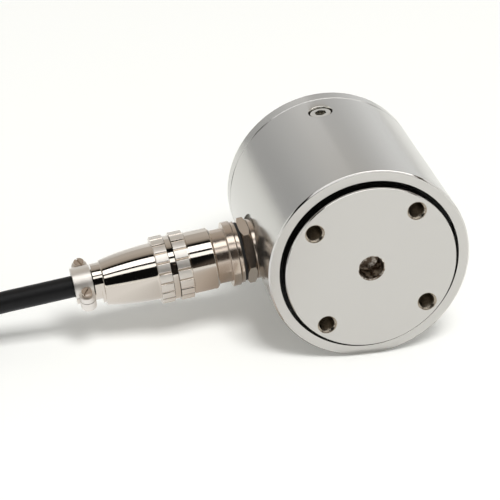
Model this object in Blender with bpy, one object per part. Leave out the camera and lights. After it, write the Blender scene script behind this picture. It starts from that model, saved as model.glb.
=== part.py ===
"""Column load cell with a radial cable plug, lying on its side.

The load cell is a turned spring element inside a tubular sleeve. The element is a loading
disc, a column with ground flats for strain gauges, a spigot and a base flange in one piece.
A circular receptacle is locked into the sleeve's wall, and the mated plug carries the cable.

Three nested frames place everything:
  load_cell_frame   z points out of the loading face, y up, with z = 0 at the sleeve's rim
  connector_frame   z points along the plug, with z = 0 on the load cell's axis
  clamp_frame       z along the cable, y along the clamp's screws
"""

import math

import bmesh
import bpy
from mathutils import Matrix, Vector

# Clearances between pieces
FIT_GAP = 0.0003
SEAT_GAP = 0.0001

# Load cell body
BODY_RADIUS = 0.0280
BODY_LENGTH = 0.0536
RIM_WIDTH = 0.0030
MOUTH_DEPTH = 0.0050
SLEEVE_WALL = 0.0037
RIM_CHAMFER = 0.0004
BASE_FLANGE_THICKNESS = 0.0044
BASE_CHAMFER = 0.0006

# Spring element
MOUTH_GAP = 0.0011
DISC_PROUD = 0.0020
DISC_THICKNESS = 0.0105
DISC_CHAMFER = 0.0003
COLUMN_SHARE = 0.4167
COLUMN_FILLET = 0.0020
COLUMN_FLAT_DEPTH = 0.0015
COLUMN_FLAT_LENGTH = 0.0170
SPIGOT_HEIGHT = 0.0118
CENTRE_BORE_RADIUS = 0.0035
CENTRE_BORE_DEPTH = 0.0060
BOLT_EDGE_DISTANCE = 0.0039
BOLT_HOLE_RADIUS = 0.0025
BOLT_HOLE_DEPTH = 0.0080
BOLT_HOLE_COUNT = 4
BOLT_HOLE_TURN = math.radians(45.0)
DRILL_POINT = math.radians(118.0)

# Seal in the mouth, strain gauges and terminal board
SEAL_SECTION = 0.0006
GAUGE_LENGTH = 0.0070
GAUGE_WIDTH = 0.0042
GAUGE_THICKNESS = 0.0003
BOARD_EDGE_GAP = 0.0030
BOARD_THICKNESS = 0.0016

# Side screw that locks the sleeve to the spigot
SIDE_SCREW_RADIUS = 0.0030
SIDE_SCREW_LENGTH = 0.0090
SIDE_SCREW_SUNK = 0.0005
SIDE_SCREW_BELOW_SPIGOT = 0.0040
SIDE_SCREW_ANGLE = math.radians(90.0)
SOCKET_KEY_WIDTH = 0.0030
SOCKET_KEY_DEPTH = 0.0030
SIDE_MOUTH_CHAMFER = 0.0003

# How it lies, and where the connector leaves the sleeve
ROLL = math.radians(8.0)
CONNECTOR_BELOW_MIDDLE = 0.00035
CONNECTOR_ANGLE = math.radians(180.0)
SPOTFACE_DEPTH = 0.0016
SPOTFACE_RADIUS = 0.0096

# Receptacle and the stack that locks it, from the spotface outwards
SHANK_RADIUS = 0.0060
SHANK_INSIDE = 0.0060
LOCK_WASHER_RADIUS = 0.0084
LOCK_WASHER_THICKNESS = 0.0015
LOCK_NUT_ACROSS_FLATS = 0.0160
LOCK_NUT_THICKNESS = 0.00265
LOCK_NUT_CHAMFER_RADIUS = 0.0082
LOCK_NUT_TURN = math.radians(54.5)
GASKET_RADIUS = 0.0082
GASKET_THICKNESS = 0.0006
FLANGE_WASHER_RADIUS = 0.0086
FLANGE_WASHER_THICKNESS = 0.0011
FLANGE_RADIUS = 0.00905
FLANGE_THICKNESS = 0.00225
COLLAR_RADIUS = 0.00755
COLLAR_VISIBLE = 0.00375
BARREL_INSIDE_NUT = 0.0062
BARREL_WALL = 0.0016
SHANK_WALL = 0.0014
CHAMFER = 0.0003

# Contacts
CONTACT_COUNT = 4
CONTACT_CIRCLE_RADIUS = 0.0026
PIN_RADIUS = 0.0006
SOCKET_WALL = 0.0004
SOCKET_FLOOR = 0.0020
INSERT_DISC_THICKNESS = 0.0042
INSERT_RECESS = 0.0035
PIN_TAIL = 0.0020
SOCKET_TAIL = 0.0025
LEAD_REACH = 0.0014
LEAD_FAN = 1.8

# Plug
NUT_SLEEVE_RADIUS = 0.0086
NUT_SLEEVE_LENGTH = 0.0075
NUT_FRONT_CHAMFER = 0.0006
NUT_RING_RADIUS = 0.00945
NUT_RING_LENGTH = 0.00365
NUT_COLLAR_LENGTH = 0.0030
UNDERCUT_WIDTH = 0.0004
UNDERCUT_DEPTH = 0.0003
PLUG_FLANGE_RADIUS = 0.00885
PLUG_FLANGE_THICKNESS = 0.0016
PLUG_THREAD_RADIUS = 0.0068
PLUG_THREAD_LENGTH = 0.0050
PLUG_BARREL_WALL = 0.0010
RETAINING_RING_WIDTH = 0.0009
RETAINING_RING_HEIGHT = 0.0010
RETAINING_RING_SPLIT = 0.0020
SHELL_RING_RADIUS = 0.00935
SHELL_RING_LENGTH = 0.0035
SHELL_BODY_RADIUS = 0.00785
SHELL_BODY_LENGTH = 0.0150
SHELL_TAIL_RADIUS = 0.00625
SHELL_WALL = 0.0016
FLUTE_COUNT = 20
FLUTE_DEPTH = 0.00045
FLUTE_TURN = math.radians(2.5)
NOTCH_DEPTH = 0.0012
NOTCH_ANGLES = (math.radians(59.5), math.radians(22.5))
NOTCH_WIDTHS = (0.0013, 0.0026)

# Cable clamp on the tail of the back shell
CLAMP_TURN = math.radians(-16.5)
CLAMP_OFFSET = 0.0011
NECK_RADIUS = 0.00545
NECK_LENGTH = 0.0008
TAIL_WALL = 0.00175
TAIL_LENGTH = 0.0080
JAW_LENGTH = 0.0055
EAR_SPAN = 0.0160
EAR_WIDTH = 0.0043
EAR_SET_BACK = 0.0008
JAW_EAR_THICKNESS = 0.0027
SADDLE_EAR_THICKNESS = 0.0016
CLAMP_SCREW_RADIUS = 0.0009
CLAMP_HEAD_RADIUS = 0.00145
CLAMP_HEAD_HEIGHT = 0.0014
CLAMP_SLOT_WIDTH = 0.0004
CLAMP_SLOT_DEPTH = 0.0006
CLAMP_SLOT_TURNS = (math.radians(20.0), math.radians(-35.0))
HEAD_SEAT_SINK = 0.0001
PARTING_OVERLAP = 0.0005

# Cable
CABLE_RADIUS = 0.0030
CORE_RADIUS = 0.0006
CORE_CIRCLE_RADIUS = 0.0013
CABLE_INSIDE = 0.0030
CABLE_LENGTH = 3.0
CABLE_STRAIGHT_RUN = 0.0115
LEAD_LENGTH = 0.0180
LEAD_SPREAD = 0.0024
LEAD_LANES = (1.5, -1.5, -0.5, 0.5)

# The free cable's points between the clamp and the hank, where it sinks and swings aside
CABLE_FALL = [
    (-0.0726, -0.0028, 0.0153),
    (-0.0837, -0.0039, 0.0137),
    (-0.0943, -0.0072, 0.0120),
]

# Hank that the spare cable is folded into, and the place where the cable joins its outer turn
HANK_JOINT = (-0.1040, -0.0125)
HANK_JOINT_TURN = math.radians(35.0)
HANK_JOINT_LAYER = 2
HANK_FOLD_RADIUS = 0.0243
HANK_COLUMNS = 3
HANK_LAYERS = 4
HANK_PITCH = 0.0062
HANK_EDGE = 0.0018
TIE_WIDTH = 0.0050
TIE_THICKNESS = 0.0006
TIE_GAP = 0.0005
TIE_INSET = 0.0020

# Facets around turned pieces
BODY_SEGMENTS = 44
CONNECTOR_SEGMENTS = 32
SMALL_SEGMENTS = 14
PIN_SEGMENTS = 7
FOLD_SEGMENTS = 14
TIE_CORNER_SEGMENTS = 3

# Values that follow from the ones above
SLEEVE_BORE = BODY_RADIUS - SLEEVE_WALL
MOUTH_RADIUS = BODY_RADIUS - RIM_WIDTH
DISC_RADIUS = MOUTH_RADIUS - MOUTH_GAP
SPIGOT_RADIUS = SLEEVE_BORE - FIT_GAP
COLUMN_RADIUS = SPIGOT_RADIUS * COLUMN_SHARE
COLUMN_FLAT_OFFSET = COLUMN_RADIUS - COLUMN_FLAT_DEPTH
FLANGE_FRONT = -(BODY_LENGTH - BASE_FLANGE_THICKNESS)
SPIGOT_TOP = FLANGE_FRONT + SPIGOT_HEIGHT
DISC_BACK = DISC_PROUD - DISC_THICKNESS
COLUMN_MIDDLE = (DISC_BACK + SPIGOT_TOP) / 2
BOLT_CIRCLE_RADIUS = DISC_RADIUS - BOLT_EDGE_DISTANCE
BOARD_INNER = COLUMN_RADIUS + COLUMN_FILLET + FIT_GAP
BOARD_OUTER = SLEEVE_BORE - BOARD_EDGE_GAP
SIDE_SCREW_SET_BACK = SIDE_SCREW_BELOW_SPIGOT - SPIGOT_TOP
CONNECTOR_SET_BACK = CONNECTOR_BELOW_MIDDLE - COLUMN_MIDDLE
HOLE_GAP = SHANK_RADIUS + FIT_GAP

SPOTFACE = BODY_RADIUS - SPOTFACE_DEPTH
LOCK_WASHER_BACK = SPOTFACE + SEAT_GAP
LOCK_NUT_BACK = LOCK_WASHER_BACK + LOCK_WASHER_THICKNESS + SEAT_GAP
GASKET_BACK = LOCK_NUT_BACK + LOCK_NUT_THICKNESS + SEAT_GAP
FLANGE_WASHER_BACK = GASKET_BACK + GASKET_THICKNESS + SEAT_GAP
RECEPTACLE_FLANGE_BACK = FLANGE_WASHER_BACK + FLANGE_WASHER_THICKNESS + SEAT_GAP
RECEPTACLE_FLANGE_FRONT = RECEPTACLE_FLANGE_BACK + FLANGE_THICKNESS
NUT_FRONT = RECEPTACLE_FLANGE_FRONT + COLLAR_VISIBLE
BARREL_FRONT = NUT_FRONT + BARREL_INSIDE_NUT
BARREL_BORE = COLLAR_RADIUS - BARREL_WALL
SHANK_BORE = SHANK_RADIUS - SHANK_WALL
SHANK_END = SLEEVE_BORE - SHANK_INSIDE
INSERT_BACK = RECEPTACLE_FLANGE_FRONT - INSERT_RECESS
INSERT_FRONT = INSERT_BACK + INSERT_DISC_THICKNESS

NUT_RING_BACK = NUT_FRONT + NUT_SLEEVE_LENGTH
NUT_END = NUT_RING_BACK + NUT_RING_LENGTH
NUT_COLLAR_BACK = NUT_END - NUT_COLLAR_LENGTH
PLUG_FLANGE_BACK = NUT_END + SEAT_GAP
PLUG_FLANGE_END = PLUG_FLANGE_BACK + PLUG_FLANGE_THICKNESS
PLUG_THREAD_END = PLUG_FLANGE_END + PLUG_THREAD_LENGTH
PLUG_BARREL_RADIUS = BARREL_BORE - FIT_GAP
PLUG_BORE = PLUG_BARREL_RADIUS - PLUG_BARREL_WALL
PLUG_FRONT = INSERT_FRONT + FIT_GAP
SHELL_RING_BACK = PLUG_FLANGE_END + SEAT_GAP
SHELL_BODY_BACK = SHELL_RING_BACK + SHELL_RING_LENGTH
SHELL_TAIL = SHELL_BODY_BACK + SHELL_BODY_LENGTH
SHELL_BORE = PLUG_THREAD_RADIUS + FIT_GAP
JAW_START = SHELL_TAIL + TAIL_LENGTH - JAW_LENGTH
TAIL_END = SHELL_TAIL + TAIL_LENGTH
CABLE_BORE = CABLE_RADIUS + FIT_GAP
TAIL_RADIUS = CABLE_BORE + TAIL_WALL
EAR_MIDDLE = TAIL_END - EAR_SET_BACK - EAR_WIDTH / 2
CLAMP_SCREW_SPACING = EAR_SPAN - EAR_WIDTH
CABLE_START = SHELL_TAIL - CABLE_INSIDE
SOCKET_RADIUS = PIN_RADIUS + FIT_GAP + SOCKET_WALL
SOCKET_FRONT = PLUG_FRONT + FIT_GAP
SOCKET_END = PLUG_THREAD_END + SOCKET_TAIL
PIN_FRONT = (PLUG_FRONT + PLUG_THREAD_END) / 2

# Plug reach along X, which centres the object on the origin
TAIL_TOP = TAIL_RADIUS + CLAMP_OFFSET * math.cos(CLAMP_TURN)
PLUG_REACH = TAIL_END * math.cos(ROLL) + TAIL_TOP * math.sin(ROLL)
AXIS_X = (PLUG_REACH - BODY_RADIUS) / 2
RIM_Y = DISC_PROUD - (BODY_LENGTH + DISC_PROUD) / 2
FLIP = Matrix.Rotation(math.pi, 4, "X")

# Hank sizes, from the middle of its turns
HANK_SPREAD = (HANK_COLUMNS - 1) / 2 * HANK_PITCH
HANK_OUTER_TURN = HANK_FOLD_RADIUS + HANK_SPREAD
HANK_BASE = TIE_THICKNESS + TIE_GAP
HANK_TOP = HANK_BASE + (HANK_LAYERS - 1) * HANK_PITCH + 2 * CABLE_RADIUS
HANK_TOP_TURN = HANK_TOP + FIT_GAP + CABLE_RADIUS
HANK_CLEAR = HANK_OUTER_TURN + 2 * CABLE_RADIUS - FIT_GAP
HANK_JOINT_HEIGHT = HANK_BASE + CABLE_RADIUS + (HANK_JOINT_LAYER - 1) * HANK_PITCH


def clear_scene():
    for thing in list(bpy.data.objects):
        bpy.data.objects.remove(thing, do_unlink=True)


def make_material(name, colour, roughness, metallic):
    material = bpy.data.materials.new(name)
    material.use_nodes = True
    shader = material.node_tree.nodes["Principled BSDF"]
    shader.inputs["Base Color"].default_value = (*colour, 1.0)
    shader.inputs["Roughness"].default_value = roughness
    shader.inputs["Metallic"].default_value = metallic
    material.diffuse_color = (*colour, 1.0)
    return material


def make_frame(name, parent, matrix):
    """An empty that later pieces are placed in."""
    frame = bpy.data.objects.new(name, None)
    bpy.context.scene.collection.objects.link(frame)
    frame.parent = parent
    frame.matrix_local = matrix
    return frame


def finish(name, mesh_edit, frame, material, matrix=None):
    """Writes an edited mesh into a named object inside a frame."""
    bmesh.ops.remove_doubles(mesh_edit, verts=mesh_edit.verts, dist=1e-7)
    bmesh.ops.recalc_face_normals(mesh_edit, faces=mesh_edit.faces)
    mesh = bpy.data.meshes.new(name)
    mesh_edit.to_mesh(mesh)
    mesh_edit.free()
    mesh.shade_smooth()
    mesh.set_sharp_from_angle(angle=math.radians(30.0))
    piece = bpy.data.objects.new(name, mesh)
    bpy.context.scene.collection.objects.link(piece)
    piece.parent = frame
    if matrix is not None:
        piece.matrix_local = matrix
    if material is not None:
        mesh.materials.append(material)
    return piece


def turn_profile(mesh_edit, profile, segments, closed):
    """Turns (radius, height) points about Z. A closed profile leaves a bore."""
    points = [mesh_edit.verts.new((radius, 0.0, height)) for radius, height in profile]
    edges = [mesh_edit.edges.new(pair) for pair in zip(points, points[1:])]
    if closed:
        edges.append(mesh_edit.edges.new((points[-1], points[0])))
    bmesh.ops.spin(
        mesh_edit,
        geom=points + edges,
        cent=(0.0, 0.0, 0.0),
        axis=(0.0, 0.0, 1.0),
        angle=2 * math.pi,
        steps=segments,
        use_merge=True,
    )


def turned(name, profile, frame, material, segments=CONNECTOR_SEGMENTS, bored=True, matrix=None):
    """A turned piece: a ring with a bore, or a solid whose profile ends on the axis."""
    mesh_edit = bmesh.new()
    turn_profile(mesh_edit, profile, segments, bored)
    return finish(name, mesh_edit, frame, material, matrix)


def ring_profile(inner, outer, low, high, edge=0.0):
    """The half section of a washer, with its outer edges broken by a chamfer."""
    if edge == 0.0:
        return [(inner, low), (outer, low), (outer, high), (inner, high)]
    return [
        (inner, low),
        (outer - edge, low),
        (outer, low + edge),
        (outer, high - edge),
        (outer - edge, high),
        (inner, high),
    ]


def rod_profile(radius, low, high, edge=0.0):
    """The half section of a rod or a drill, from axis to axis."""
    if edge == 0.0:
        return [(0.0, low), (radius, low), (radius, high), (0.0, high)]
    return [
        (0.0, low),
        (radius - edge, low),
        (radius, low + edge),
        (radius, high - edge),
        (radius - edge, high),
        (0.0, high),
    ]


def drill_profile(radius, mouth, floor, mouth_chamfer=0.0):
    """A drilled hole's section. The mouth is at a greater height than the floor."""
    point = radius / math.tan(DRILL_POINT / 2)
    profile = [(0.0, floor - point), (radius, floor), (radius, mouth - mouth_chamfer)]
    beyond = mouth + radius
    if mouth_chamfer > 0.0:
        profile.append((radius + mouth_chamfer, mouth))
        profile.append((radius + mouth_chamfer, beyond))
    else:
        profile.append((radius, beyond))
    profile.append((0.0, beyond))
    return profile


def arc(centre, radius, start, end, steps):
    """Points (radius, height) along an arc, both ends included."""
    points = []
    for step in range(steps + 1):
        angle = start + (end - start) * step / steps
        points.append((centre[0] + radius * math.cos(angle), centre[1] + radius * math.sin(angle)))
    return points


def on_circle(radius, count, turn, height=0.0):
    """Evenly spaced places on a circle about Z."""
    angles = [turn + 2 * math.pi * index / count for index in range(count)]
    return [Vector((radius * math.cos(a), radius * math.sin(a), height)) for a in angles]


def place_copy(source, name, frame, place):
    """A further copy of a piece, as an object of its own that shares its mesh."""
    copy = bpy.data.objects.new(name, source.data)
    bpy.context.scene.collection.objects.link(copy)
    copy.parent = frame
    copy.matrix_local = Matrix.Translation(place)
    return copy


def as_cutter(piece):
    piece.hide_render = True
    piece.display_type = "WIRE"
    return piece


def combine(piece, other, operation):
    """Adds a live Boolean that cuts, joins or keeps the common part of another object."""
    modifier = piece.modifiers.new(f"{operation.lower()}_{other.name}", "BOOLEAN")
    modifier.operation = operation
    modifier.solver = "EXACT"
    modifier.object = as_cutter(other)
    return piece


def drilled_group(name, profile, places, frame, segments):
    """One cutter made of equal drills at several places."""
    mesh_edit = bmesh.new()
    for place in places:
        before = set(mesh_edit.verts)
        turn_profile(mesh_edit, profile, segments, False)
        fresh = [vertex for vertex in mesh_edit.verts if vertex not in before]
        bmesh.ops.translate(mesh_edit, vec=place, verts=fresh)
    return finish(name, mesh_edit, frame, None)


def box(name, low, high, frame, material=None, matrix=None):
    """A block between two corners."""
    mesh_edit = bmesh.new()
    bmesh.ops.create_cube(mesh_edit, size=1.0)
    size = Vector(high) - Vector(low)
    middle = (Vector(high) + Vector(low)) / 2
    bmesh.ops.scale(mesh_edit, vec=size, verts=mesh_edit.verts)
    bmesh.ops.translate(mesh_edit, vec=middle, verts=mesh_edit.verts)
    return finish(name, mesh_edit, frame, material, matrix)


def prism(name, sides, across_flats, low, high, frame, turn=0.0, material=None):
    """A regular prism along Z, such as a hexagon, with a corner at the angle turn."""
    corner = across_flats / 2 / math.cos(math.pi / sides)
    mesh_edit = bmesh.new()
    corners = [mesh_edit.verts.new(place) for place in on_circle(corner, sides, turn, low)]
    face = mesh_edit.faces.new(corners)
    made = bmesh.ops.extrude_face_region(mesh_edit, geom=[face])
    top = [item for item in made["geom"] if isinstance(item, bmesh.types.BMVert)]
    bmesh.ops.translate(mesh_edit, vec=(0.0, 0.0, high - low), verts=top)
    return finish(name, mesh_edit, frame, material)


def smooth_route(points, spacing):
    """Even points along a smooth curve through the route's own points."""
    ends = [2 * points[0] - points[1], *points, 2 * points[-1] - points[-2]]
    fine = []
    for first, second, third, fourth in zip(ends, ends[1:], ends[2:], ends[3:]):
        for step in range(24):
            t = step / 24
            fine.append(
                0.5
                * (
                    2 * second
                    + (third - first) * t
                    + (2 * first - 5 * second + 4 * third - fourth) * t**2
                    + (3 * second - first - 3 * third + fourth) * t**3
                )
            )
    fine.append(points[-1].copy())
    lengths = [0.0]
    for first, second in zip(fine, fine[1:]):
        lengths.append(lengths[-1] + (second - first).length)
    count = max(2, round(lengths[-1] / spacing))
    even = []
    index = 0
    for step in range(count + 1):
        goal = lengths[-1] * step / count
        while index < len(fine) - 2 and lengths[index + 1] < goal:
            index += 1
        run = lengths[index + 1] - lengths[index]
        even.append(fine[index].lerp(fine[index + 1], (goal - lengths[index]) / run))
    return even


def tube(name, points, radius, material, frame=None, resolution=2):
    """A round cord along a polyline, with filled ends."""
    curve = bpy.data.curves.new(name, "CURVE")
    curve.dimensions = "3D"
    curve.bevel_depth = radius
    curve.bevel_resolution = resolution
    curve.use_fill_caps = True
    spline = curve.splines.new("POLY")
    spline.points.add(len(points) - 1)
    for point, place in zip(spline.points, points):
        point.co = (*place, 1.0)
    curve.materials.append(material)
    piece = bpy.data.objects.new(name, curve)
    bpy.context.scene.collection.objects.link(piece)
    piece.parent = frame
    return piece


def make_spring_element(frame, steel):
    """Loading disc, gauge column, spigot and base flange, turned from one bar."""
    disc_front = DISC_PROUD
    rear = -BODY_LENGTH
    bore_floor = disc_front - CENTRE_BORE_DEPTH
    point = CENTRE_BORE_RADIUS / math.tan(DRILL_POINT / 2)
    root = COLUMN_RADIUS + COLUMN_FILLET
    profile = [
        (0.0, bore_floor - point),
        (CENTRE_BORE_RADIUS, bore_floor),
        (CENTRE_BORE_RADIUS, disc_front - DISC_CHAMFER),
        (CENTRE_BORE_RADIUS + DISC_CHAMFER, disc_front),
        (DISC_RADIUS - DISC_CHAMFER, disc_front),
        (DISC_RADIUS, disc_front - DISC_CHAMFER),
        (DISC_RADIUS, DISC_BACK),
    ]
    profile += arc((root, DISC_BACK - COLUMN_FILLET), COLUMN_FILLET, math.pi / 2, math.pi, 2)
    profile += arc((root, SPIGOT_TOP + COLUMN_FILLET), COLUMN_FILLET, math.pi, 1.5 * math.pi, 2)
    profile += [
        (SPIGOT_RADIUS, SPIGOT_TOP),
        (SPIGOT_RADIUS, FLANGE_FRONT),
        (BODY_RADIUS, FLANGE_FRONT),
        (BODY_RADIUS, rear + BASE_CHAMFER),
        (BODY_RADIUS - BASE_CHAMFER, rear),
        (0.0, rear),
    ]
    element = turned("spring_element", profile, frame, steel, BODY_SEGMENTS, bored=False)

    places = on_circle(BOLT_CIRCLE_RADIUS, BOLT_HOLE_COUNT, BOLT_HOLE_TURN)
    front_drill = drill_profile(
        BOLT_HOLE_RADIUS, disc_front, disc_front - BOLT_HOLE_DEPTH, DISC_CHAMFER
    )
    combine(
        element,
        drilled_group("front_bolt_drills", front_drill, places, frame, SMALL_SEGMENTS),
        "DIFFERENCE",
    )
    rear_frame = make_frame("rear_face_frame", frame, Matrix.Translation((0, 0, rear)) @ FLIP)
    rear_drill = drill_profile(BOLT_HOLE_RADIUS, 0.0, -BOLT_HOLE_DEPTH, DISC_CHAMFER)
    combine(
        element,
        drilled_group("rear_bolt_drills", rear_drill, places, rear_frame, SMALL_SEGMENTS),
        "DIFFERENCE",
    )
    for index in range(4):
        turn = Matrix.Rotation(index * math.pi / 2, 4, "Z")
        low = (COLUMN_FLAT_OFFSET, -COLUMN_RADIUS, COLUMN_MIDDLE - COLUMN_FLAT_LENGTH / 2)
        high = (root, COLUMN_RADIUS, COLUMN_MIDDLE + COLUMN_FLAT_LENGTH / 2)
        combine(element, box(f"flat_mill_{index + 1}", low, high, frame, None, turn), "DIFFERENCE")
    combine(element, side_drill("spigot_drill", frame, chamfer=0.0), "DIFFERENCE")
    return element


def side_drill(name, frame, chamfer):
    """The radial hole for the side screw, with its mouth at the sleeve's surface."""
    radius = SIDE_SCREW_RADIUS + FIT_GAP
    floor = BODY_RADIUS - SIDE_SCREW_SUNK - SIDE_SCREW_LENGTH - FIT_GAP
    side = radial_frame(f"{name}_frame", frame, SIDE_SCREW_ANGLE, SIDE_SCREW_SET_BACK)
    profile = drill_profile(radius, BODY_RADIUS, floor, chamfer)
    return turned(name, profile, side, None, SMALL_SEGMENTS, bored=False)


def radial_frame(name, parent, angle, set_back):
    """A frame whose z points radially out of the body and whose x points to the loading face."""
    outward = Vector((math.cos(angle), math.sin(angle), 0.0))
    forward = Vector((0.0, 0.0, 1.0))
    across = outward.cross(forward)
    matrix = Matrix((forward, across, outward)).transposed().to_4x4()
    matrix.translation = (0.0, 0.0, -set_back)
    return make_frame(name, parent, matrix)


def make_sleeve(frame, connector, steel):
    """The tube around the column, counterbored at its mouth and spotfaced for the connector."""
    end = FLANGE_FRONT + SEAT_GAP
    profile = [
        (SLEEVE_BORE, end),
        (BODY_RADIUS, end),
        (BODY_RADIUS, -RIM_CHAMFER),
        (BODY_RADIUS - RIM_CHAMFER, 0.0),
        (MOUTH_RADIUS, 0.0),
        (MOUTH_RADIUS, -MOUTH_DEPTH),
        (SLEEVE_BORE, -MOUTH_DEPTH),
    ]
    sleeve = turned("housing_sleeve", profile, frame, steel, BODY_SEGMENTS)
    beyond = BODY_RADIUS + SPOTFACE_DEPTH
    stepped = [
        (0.0, SHANK_END),
        (HOLE_GAP, SHANK_END),
        (HOLE_GAP, SPOTFACE),
        (SPOTFACE_RADIUS, SPOTFACE),
        (SPOTFACE_RADIUS, beyond),
        (0.0, beyond),
    ]
    combine(sleeve, turned("spotface_drill", stepped, connector, None, bored=False), "DIFFERENCE")
    combine(sleeve, side_drill("sleeve_side_drill", frame, SIDE_MOUTH_CHAMFER), "DIFFERENCE")
    return sleeve


def make_mouth_seal(frame, rubber):
    """A dust ring on the counterbore's step, between the disc and the sleeve."""
    low = -MOUTH_DEPTH + SEAT_GAP
    inner = DISC_RADIUS + SEAT_GAP
    outer = MOUTH_RADIUS - SEAT_GAP
    profile = ring_profile(inner, outer, low, low + 2 * SEAL_SECTION)
    return turned("mouth_seal", profile, frame, rubber, BODY_SEGMENTS)


def make_gauges(frame, foil):
    """Four strain gauges on the column's flats."""
    low = (COLUMN_FLAT_OFFSET + SEAT_GAP, -GAUGE_WIDTH / 2, COLUMN_MIDDLE - GAUGE_LENGTH / 2)
    high = (low[0] + GAUGE_THICKNESS, GAUGE_WIDTH / 2, COLUMN_MIDDLE + GAUGE_LENGTH / 2)
    for index in range(4):
        turn = Matrix.Rotation(index * math.pi / 2, 4, "Z")
        box(f"strain_gauge_{index + 1}", low, high, frame, foil, turn)


def make_board(frame, laminate):
    """The ring-shaped terminal board that completes the bridge, seated on the spigot."""
    low = SPIGOT_TOP + SEAT_GAP
    profile = ring_profile(BOARD_INNER, BOARD_OUTER, low, low + BOARD_THICKNESS)
    return turned("bridge_board", profile, frame, laminate, BODY_SEGMENTS)


def make_side_screw(frame, steel):
    """A hexagon socket screw, sunk below the surface, that locks the sleeve to the spigot."""
    side = radial_frame("side_screw_frame", frame, SIDE_SCREW_ANGLE, SIDE_SCREW_SET_BACK)
    top = BODY_RADIUS - SIDE_SCREW_SUNK
    profile = rod_profile(SIDE_SCREW_RADIUS, top - SIDE_SCREW_LENGTH, top, CHAMFER)
    screw = turned("side_screw", profile, side, steel, SMALL_SEGMENTS, bored=False)
    floor = top - SOCKET_KEY_DEPTH
    beyond = top + SIDE_SCREW_SUNK
    socket = prism("side_screw_socket", 6, SOCKET_KEY_WIDTH, floor, beyond, side)
    return combine(screw, socket, "DIFFERENCE")


def make_receptacle(connector, nickel, plastic, gold):
    """The panel receptacle: threaded shank, flange, mating barrel, insulator and pins."""
    profile = [
        (SHANK_BORE, SHANK_END),
        (SHANK_RADIUS - CHAMFER, SHANK_END),
        (SHANK_RADIUS, SHANK_END + CHAMFER),
        (SHANK_RADIUS, RECEPTACLE_FLANGE_BACK),
        (FLANGE_RADIUS - CHAMFER, RECEPTACLE_FLANGE_BACK),
        (FLANGE_RADIUS, RECEPTACLE_FLANGE_BACK + CHAMFER),
        (FLANGE_RADIUS, RECEPTACLE_FLANGE_FRONT - CHAMFER),
        (FLANGE_RADIUS - CHAMFER, RECEPTACLE_FLANGE_FRONT),
        (COLLAR_RADIUS, RECEPTACLE_FLANGE_FRONT),
        (COLLAR_RADIUS, BARREL_FRONT - CHAMFER),
        (COLLAR_RADIUS - CHAMFER, BARREL_FRONT),
        (BARREL_BORE, BARREL_FRONT),
        (BARREL_BORE, INSERT_BACK),
        (SHANK_BORE, INSERT_BACK),
    ]
    turned("receptacle_shell", profile, connector, nickel)

    places = on_circle(CONTACT_CIRCLE_RADIUS, CONTACT_COUNT, BOLT_HOLE_TURN)
    disc_radius = BARREL_BORE - FIT_GAP
    boss_radius = SHANK_BORE - FIT_GAP
    boss_end = SHANK_END + PIN_TAIL
    profile = [
        (0.0, boss_end),
        (boss_radius, boss_end),
        (boss_radius, INSERT_BACK + SEAT_GAP),
        (disc_radius, INSERT_BACK + SEAT_GAP),
        (disc_radius, INSERT_FRONT),
        (0.0, INSERT_FRONT),
    ]
    insert = turned(
        "receptacle_insulator", profile, connector, plastic, SMALL_SEGMENTS * 2, bored=False
    )
    hole = rod_profile(PIN_RADIUS + SEAT_GAP, SHANK_END, INSERT_FRONT + PIN_TAIL)
    drills = drilled_group("insulator_drills", hole, places, connector, PIN_SEGMENTS)
    combine(insert, drills, "DIFFERENCE")

    profile = rod_profile(PIN_RADIUS, SHANK_END, PIN_FRONT, PIN_RADIUS / 3)
    first = turned("contact_pin_1", profile, connector, gold, PIN_SEGMENTS, False)
    first.matrix_local = Matrix.Translation(places[0])
    for index, place in enumerate(places[1:], start=2):
        place_copy(first, f"contact_pin_{index}", connector, place)


def make_lock_stack(connector, nickel, rubber):
    """Lock washer, chamfered hexagon nut, rubber gasket and flange washer on the shank."""
    inner = HOLE_GAP
    profile = ring_profile(
        inner, LOCK_WASHER_RADIUS, LOCK_WASHER_BACK, LOCK_WASHER_BACK + LOCK_WASHER_THICKNESS, CHAMFER
    )
    turned("lock_washer", profile, connector, nickel)

    low = LOCK_NUT_BACK
    high = low + LOCK_NUT_THICKNESS
    nut = prism("lock_nut", 6, LOCK_NUT_ACROSS_FLATS, low, high, connector, LOCK_NUT_TURN, nickel)
    corner = LOCK_NUT_ACROSS_FLATS / 2 / math.cos(math.pi / 6)
    reach = corner + FIT_GAP
    drop = (reach - LOCK_NUT_CHAMFER_RADIUS) * math.tan(math.radians(30.0))
    profile = [
        (inner, low),
        (LOCK_NUT_CHAMFER_RADIUS, low),
        (reach, low + drop),
        (reach, high - drop),
        (LOCK_NUT_CHAMFER_RADIUS, high),
        (inner, high),
    ]
    combine(nut, turned("lock_nut_turning", profile, connector, None), "INTERSECT")

    profile = ring_profile(inner, GASKET_RADIUS, GASKET_BACK, GASKET_BACK + GASKET_THICKNESS)
    turned("flange_gasket", profile, connector, rubber)

    high = FLANGE_WASHER_BACK + FLANGE_WASHER_THICKNESS
    profile = ring_profile(inner, FLANGE_WASHER_RADIUS, FLANGE_WASHER_BACK, high, CHAMFER / 2)
    turned("flange_washer", profile, connector, nickel)


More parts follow.
